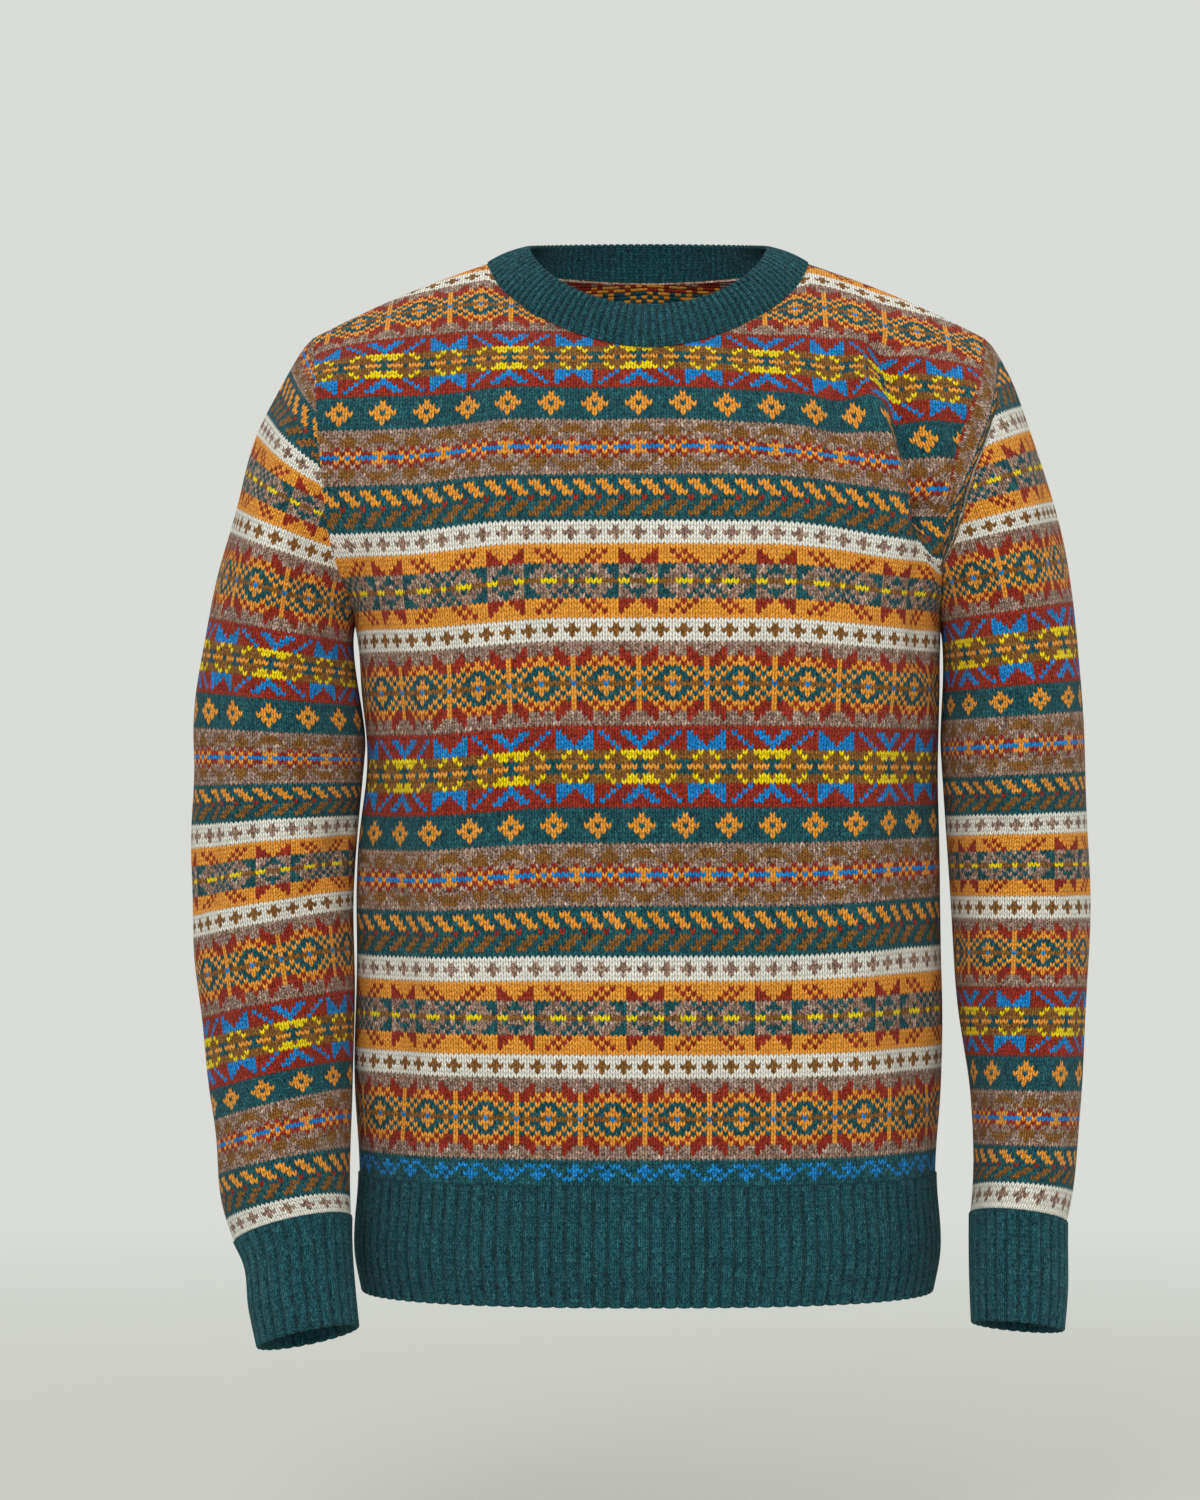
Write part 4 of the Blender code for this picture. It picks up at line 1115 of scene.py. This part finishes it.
def make_neckband():
    """The ribbed neckband: quadratics from the neckline by a raised middle to the opening's edge."""
    half = NECK_RIBS * NECK_RIB_CELLS // 2
    shares = np.linspace(-1, 1, half + 1)
    base = np.concatenate([neckline("front", shares), neckline("back", shares)[::-1][1:]])
    turn = np.linspace(-np.pi / 2, 3 * np.pi / 2, 2 * half + 1)
    front = np.clip(np.cos(turn), 0, 1)
    back = np.clip(-np.cos(turn), 0, 1)
    x = NECK_OPENING_HALF_WIDTH * np.sin(turn)
    y = (
        NECK_OPENING_SIDE_Y
        + (NECK_OPENING_FRONT_Y - NECK_OPENING_SIDE_Y) * front**OPENING_DEPTH_POWER
        + (NECK_OPENING_BACK_Y - NECK_OPENING_SIDE_Y) * back**OPENING_DEPTH_POWER
    )
    z = (
        NECK_OPENING_SIDE_Z
        + (NECK_OPENING_FRONT_Z - NECK_OPENING_SIDE_Z) * front**OPENING_HEIGHT_POWER
        + (NECK_OPENING_BACK_Z - NECK_OPENING_SIDE_Z) * back
    )
    top = np.stack([x, y, z], axis=1)
    outward = unit(np.stack([np.sin(turn), -np.cos(turn), np.full(len(turn), ROLL_RISE)], axis=1))
    middle = (base + top) / 2 + outward * NECKBAND_ROLL
    v = np.linspace(0, 1, NECK_COURSES + 1)[None, :, None]
    grid = (
        base[:, None] * (1 - v) * (1 - 2 * v)
        + middle[:, None] * 4 * v * (1 - v)
        + top[:, None] * v * (2 * v - 1)
    )
    normals, seed = grid_normals(grid, wraps=True), SEED + 40
    return link_rib("neckband_knit", grid, normals, NECK_RIB_CELLS, NECK_RIB_LEGS, "high", seed, tube=True)


# --- Materials ---

FLECK_SIZE = 1.1111  # of the melange's darker and lighter fibres, as coarse as they need to be to show
DYE_PATCH_SIZE = 31.25  # of uneven dyeing and wear
NAP = 0.35  # how high the loose fibres stand, as a part of a leg's height


def node(tree, kind, inputs=None, **settings):
    """Adds a node with its settings, and gives its inputs values, sockets or other nodes' first outputs."""
    made = tree.nodes.new(kind)
    for key, value in settings.items():
        setattr(made, key, value)
    for key, value in (inputs or {}).items():
        if isinstance(value, bpy.types.Node):
            value = value.outputs[0]
        if isinstance(value, bpy.types.NodeSocket):
            tree.links.new(value, made.inputs[key])
        else:
            made.inputs[key].default_value = value
    return made


def half_sine(tree, t):
    """sin(pi t), which rises from 0 to 1 and falls back to 0 as t goes from 0 to 1."""
    turn = node(tree, "ShaderNodeMath", {0: t, 1: np.pi}, operation="MULTIPLY")
    return node(tree, "ShaderNodeMath", {0: turn}, operation="SINE")


def wool_material(name, relief, depth, dark):
    """Matt wool: the piece's yarn colours, painted shade and bump from a relief of each leg, flecks and a
    soft nap.

    relief is a function of the tree and the fractions across and up a leg that gives its height from 0 to
    1, depth is that height in millimetres, and dark is the painted shade at its foot; its top is painted a
    little lighter.
    """
    if name in bpy.data.materials:
        return bpy.data.materials[name]
    material = bpy.data.materials.new(name)
    material.use_nodes = True
    tree = material.node_tree
    shader = tree.nodes["Principled BSDF"]
    stitches = node(tree, "ShaderNodeUVMap", uv_map="stitches")
    place = node(tree, "ShaderNodeSeparateXYZ", {0: stitches})
    across = node(tree, "ShaderNodeMath", {0: place.outputs[0]}, operation="FRACT")
    up = node(tree, "ShaderNodeMath", {0: place.outputs[1]}, operation="FRACT")
    height = relief(tree, across, up)

    objects = node(tree, "ShaderNodeTexCoord").outputs["Object"]
    values = {"Vector": objects, "Scale": 1 / (FLECK_SIZE * MM), "Detail": 2.0}
    fibres = node(tree, "ShaderNodeTexNoise", values)
    values = {"Value": fibres, "From Min": 0.3, "From Max": 0.7, "To Min": -0.85, "To Max": 0.85}
    flecks = node(tree, "ShaderNodeMapRange", values)
    values = {"Vector": objects, "Scale": 1 / (DYE_PATCH_SIZE * MM), "Detail": 2.0}
    patches = node(tree, "ShaderNodeTexNoise", values)
    values = {"Value": patches, "From Min": 0.3, "From Max": 0.7, "To Min": 0.95, "To Max": 1.05}
    dyeing = node(tree, "ShaderNodeMapRange", values)
    # Painted shade: the yarn colour is darkened where a leg's relief is low and lightened a little on its
    # top
    painted_groove_shade = node(tree, "ShaderNodeMapRange", {"Value": height, "To Min": dark, "To Max": 1.08})

    yarn = node(tree, "ShaderNodeVertexColor", layer_name="yarn")
    melange = node(tree, "ShaderNodeMath", {0: flecks, 1: yarn.outputs["Alpha"]}, operation="MULTIPLY")
    melange = node(tree, "ShaderNodeMath", {0: melange, 1: 1.0}, operation="ADD")
    shade = node(tree, "ShaderNodeMath", {0: painted_groove_shade, 1: melange}, operation="MULTIPLY")
    shade = node(tree, "ShaderNodeMath", {0: shade, 1: dyeing}, operation="MULTIPLY")
    grey = node(tree, "ShaderNodeCombineColor", {0: shade, 1: shade, 2: shade})
    values = {"Factor": 1.0, 6: yarn.outputs["Color"], 7: grey}
    mixed = node(tree, "ShaderNodeMix", values, data_type="RGBA", blend_type="MULTIPLY")
    tree.links.new(mixed.outputs[2], shader.inputs["Base Color"])

    nap = node(tree, "ShaderNodeMath", {0: fibres, 1: NAP}, operation="MULTIPLY")
    rough = node(tree, "ShaderNodeMath", {0: nap, 1: height}, operation="ADD")
    bump = node(tree, "ShaderNodeBump", {"Height": rough, "Distance": depth * MM, "Strength": 0.9})
    tree.links.new(bump.outputs[0], shader.inputs["Normal"])
    shader.inputs["Roughness"].default_value = 0.92
    shader.inputs["Specular IOR Level"].default_value = 0.06
    shader.inputs["Sheen Weight"].default_value = 0.06
    shader.inputs["Sheen Roughness"].default_value = 0.55
    return material


def leg_relief(tree, across, up):
    """A plump slanted leg: a root of a half sine across, times a lift that falls off at both its ends."""
    round_leg = node(tree, "ShaderNodeMath", {0: half_sine(tree, across), 1: 0.42}, operation="POWER")
    along = node(tree, "ShaderNodeMath", {0: half_sine(tree, up), 1: 0.6}, operation="POWER")
    lift = node(tree, "ShaderNodeMath", {0: along, 1: 0.65, 2: 0.35}, operation="MULTIPLY_ADD")
    return node(tree, "ShaderNodeMath", {0: round_leg, 1: lift}, operation="MULTIPLY")


def purl_relief(tree, across, up):
    """The wrong side: a low bar across each course, broken a little at each wale."""
    bar = node(tree, "ShaderNodeMath", {0: half_sine(tree, up), 1: 0.7}, operation="POWER")
    broken = half_sine(tree, across)
    broken = node(tree, "ShaderNodeMath", {0: broken, 1: 0.3, 2: 0.7}, operation="MULTIPLY_ADD")
    return node(tree, "ShaderNodeMath", {0: bar, 1: broken}, operation="MULTIPLY")


def knit_material():
    """Lambswool stocking stitch, brushed a little: matt, with rounded legs and painted shade between them.
    """
    return wool_material("lambswool_stranded_knit", leg_relief, 0.95, 0.34)


def float_material():
    """The wrong side of the same wool: bars of purl and loose strands."""
    # Painted shade at the foot of each bar
    return wool_material("lambswool_wrong_side", purl_relief, 0.8, 0.40)


def rib_material():
    """The same wool in rib, worked tighter, so that its legs are smaller, with painted shade in its
    grooves.
    """
    return wool_material("lambswool_rib", leg_relief, 0.8, 0.38)


def floor_material():
    """Matt pale studio paper, which thins out to the backdrop at its edge."""
    material = bpy.data.materials.new("matt_studio_paper")
    material.use_nodes = True
    tree = material.node_tree
    shader = tree.nodes["Principled BSDF"]
    shader.inputs["Base Color"].default_value = (*linear("#cfd0cc"), 1)
    shader.inputs["Roughness"].default_value = 0.95
    shader.inputs["Specular IOR Level"].default_value = 0.1
    objects = node(tree, "ShaderNodeTexCoord").outputs["Object"]
    away = node(tree, "ShaderNodeVectorMath", {0: objects}, operation="LENGTH").outputs["Value"]
    values = {"Value": away, "From Min": 0.9, "From Max": 2.6, "To Min": 1.0, "To Max": 0.0}
    solid = node(tree, "ShaderNodeMapRange", values, interpolation_type="SMOOTHSTEP")
    tree.links.new(solid.outputs[0], shader.inputs["Alpha"])
    return material


# --- Studio ---


def make_floor():
    """A round of pale paper under the jumper, in metres."""
    radius, height, sides = 2.8, -0.86, 64
    turns = np.linspace(0, 2 * np.pi, sides + 1)[:-1]
    points = np.column_stack([radius * np.cos(turns), radius * np.sin(turns), np.full(sides, height)])
    mesh = bpy.data.meshes.new("studio_floor")
    mesh.from_pydata(points.tolist(), [], [list(range(sides))])
    mesh.materials.append(floor_material())
    floor = bpy.data.objects.new("studio_floor", mesh)
    bpy.context.scene.collection.objects.link(floor)


def make_light(name, place, aim, size, power):
    """One soft square light that looks from place to aim, in metres."""
    data = bpy.data.lights.new(name, "AREA")
    data.shape = "SQUARE"
    data.size = size
    data.energy = power
    lamp = bpy.data.objects.new(name, data)
    away = np.array(place) - np.array(aim)
    flat = np.hypot(away[0], away[1])
    lamp.location = place
    lamp.rotation_euler = (np.arctan2(flat, away[2]), 0, np.arctan2(away[1], away[0]) + np.pi / 2)
    bpy.context.scene.collection.objects.link(lamp)


def make_studio():
    """A pale grey room of even light with a soft key from the upper left and a weaker fill."""
    scene = bpy.context.scene
    world = bpy.data.worlds.new("pale_studio")
    world.use_nodes = True
    background = world.node_tree.nodes["Background"]
    background.inputs["Color"].default_value = (*linear("#dadcd7"), 1)
    background.inputs["Strength"].default_value = 1.0
    scene.world = world
    scene.view_settings.view_transform = "Standard"
    middle = (0, 0, -0.33)
    make_light("key", (-0.9, -3.0, 1.3), middle, 1.6, 37)
    make_light("fill", (1.3, -2.9, 0.3), middle, 2.0, 13)
    make_light("top", (0.2, 0.6, 1.9), middle, 1.6, 16)
    make_floor()


def make_camera():
    """A level camera 3.16 m in front, whose frame is 0.99 m high at the jumper."""
    data = bpy.data.cameras.new("camera")
    data.sensor_width = 36
    data.lens = 114.9
    data.clip_end = 50
    camera = bpy.data.objects.new("camera", data)
    camera.location = (-0.0317, -3.16, -0.322)
    camera.rotation_euler = (np.pi / 2, 0, 0)
    bpy.context.scene.collection.objects.link(camera)
    bpy.context.scene.camera = camera


def declare(piece, node_name):
    """Hangs a piece under the root and hides the solid that it stands for."""
    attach(piece, "root")
    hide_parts(node_name)


def main():
    """Camera and studio, then each piece with the solid that it stands for."""
    make_camera()
    make_studio()
    body = make_body()
    right_sleeve = make_sleeve("left", "right_sleeve_knit")
    left_sleeve = make_sleeve("right", "left_sleeve_knit")
    neckband = make_neckband()
    declare(body["front"], "body_front")
    declare(body["back"], "body_back")
    declare(right_sleeve, "sleeve_right")
    declare(left_sleeve, "sleeve_left")
    declare(neckband, "neckband")
    declare(make_hem("front"), "hem_rib_front")
    declare(make_hem("back"), "hem_rib_back")
    right_cuff = make_cuff("left", "right_cuff_knit")
    left_cuff = make_cuff("right", "left_cuff_knit")
    declare(right_cuff, "cuff_right")
    declare(left_cuff, "cuff_left")


main()
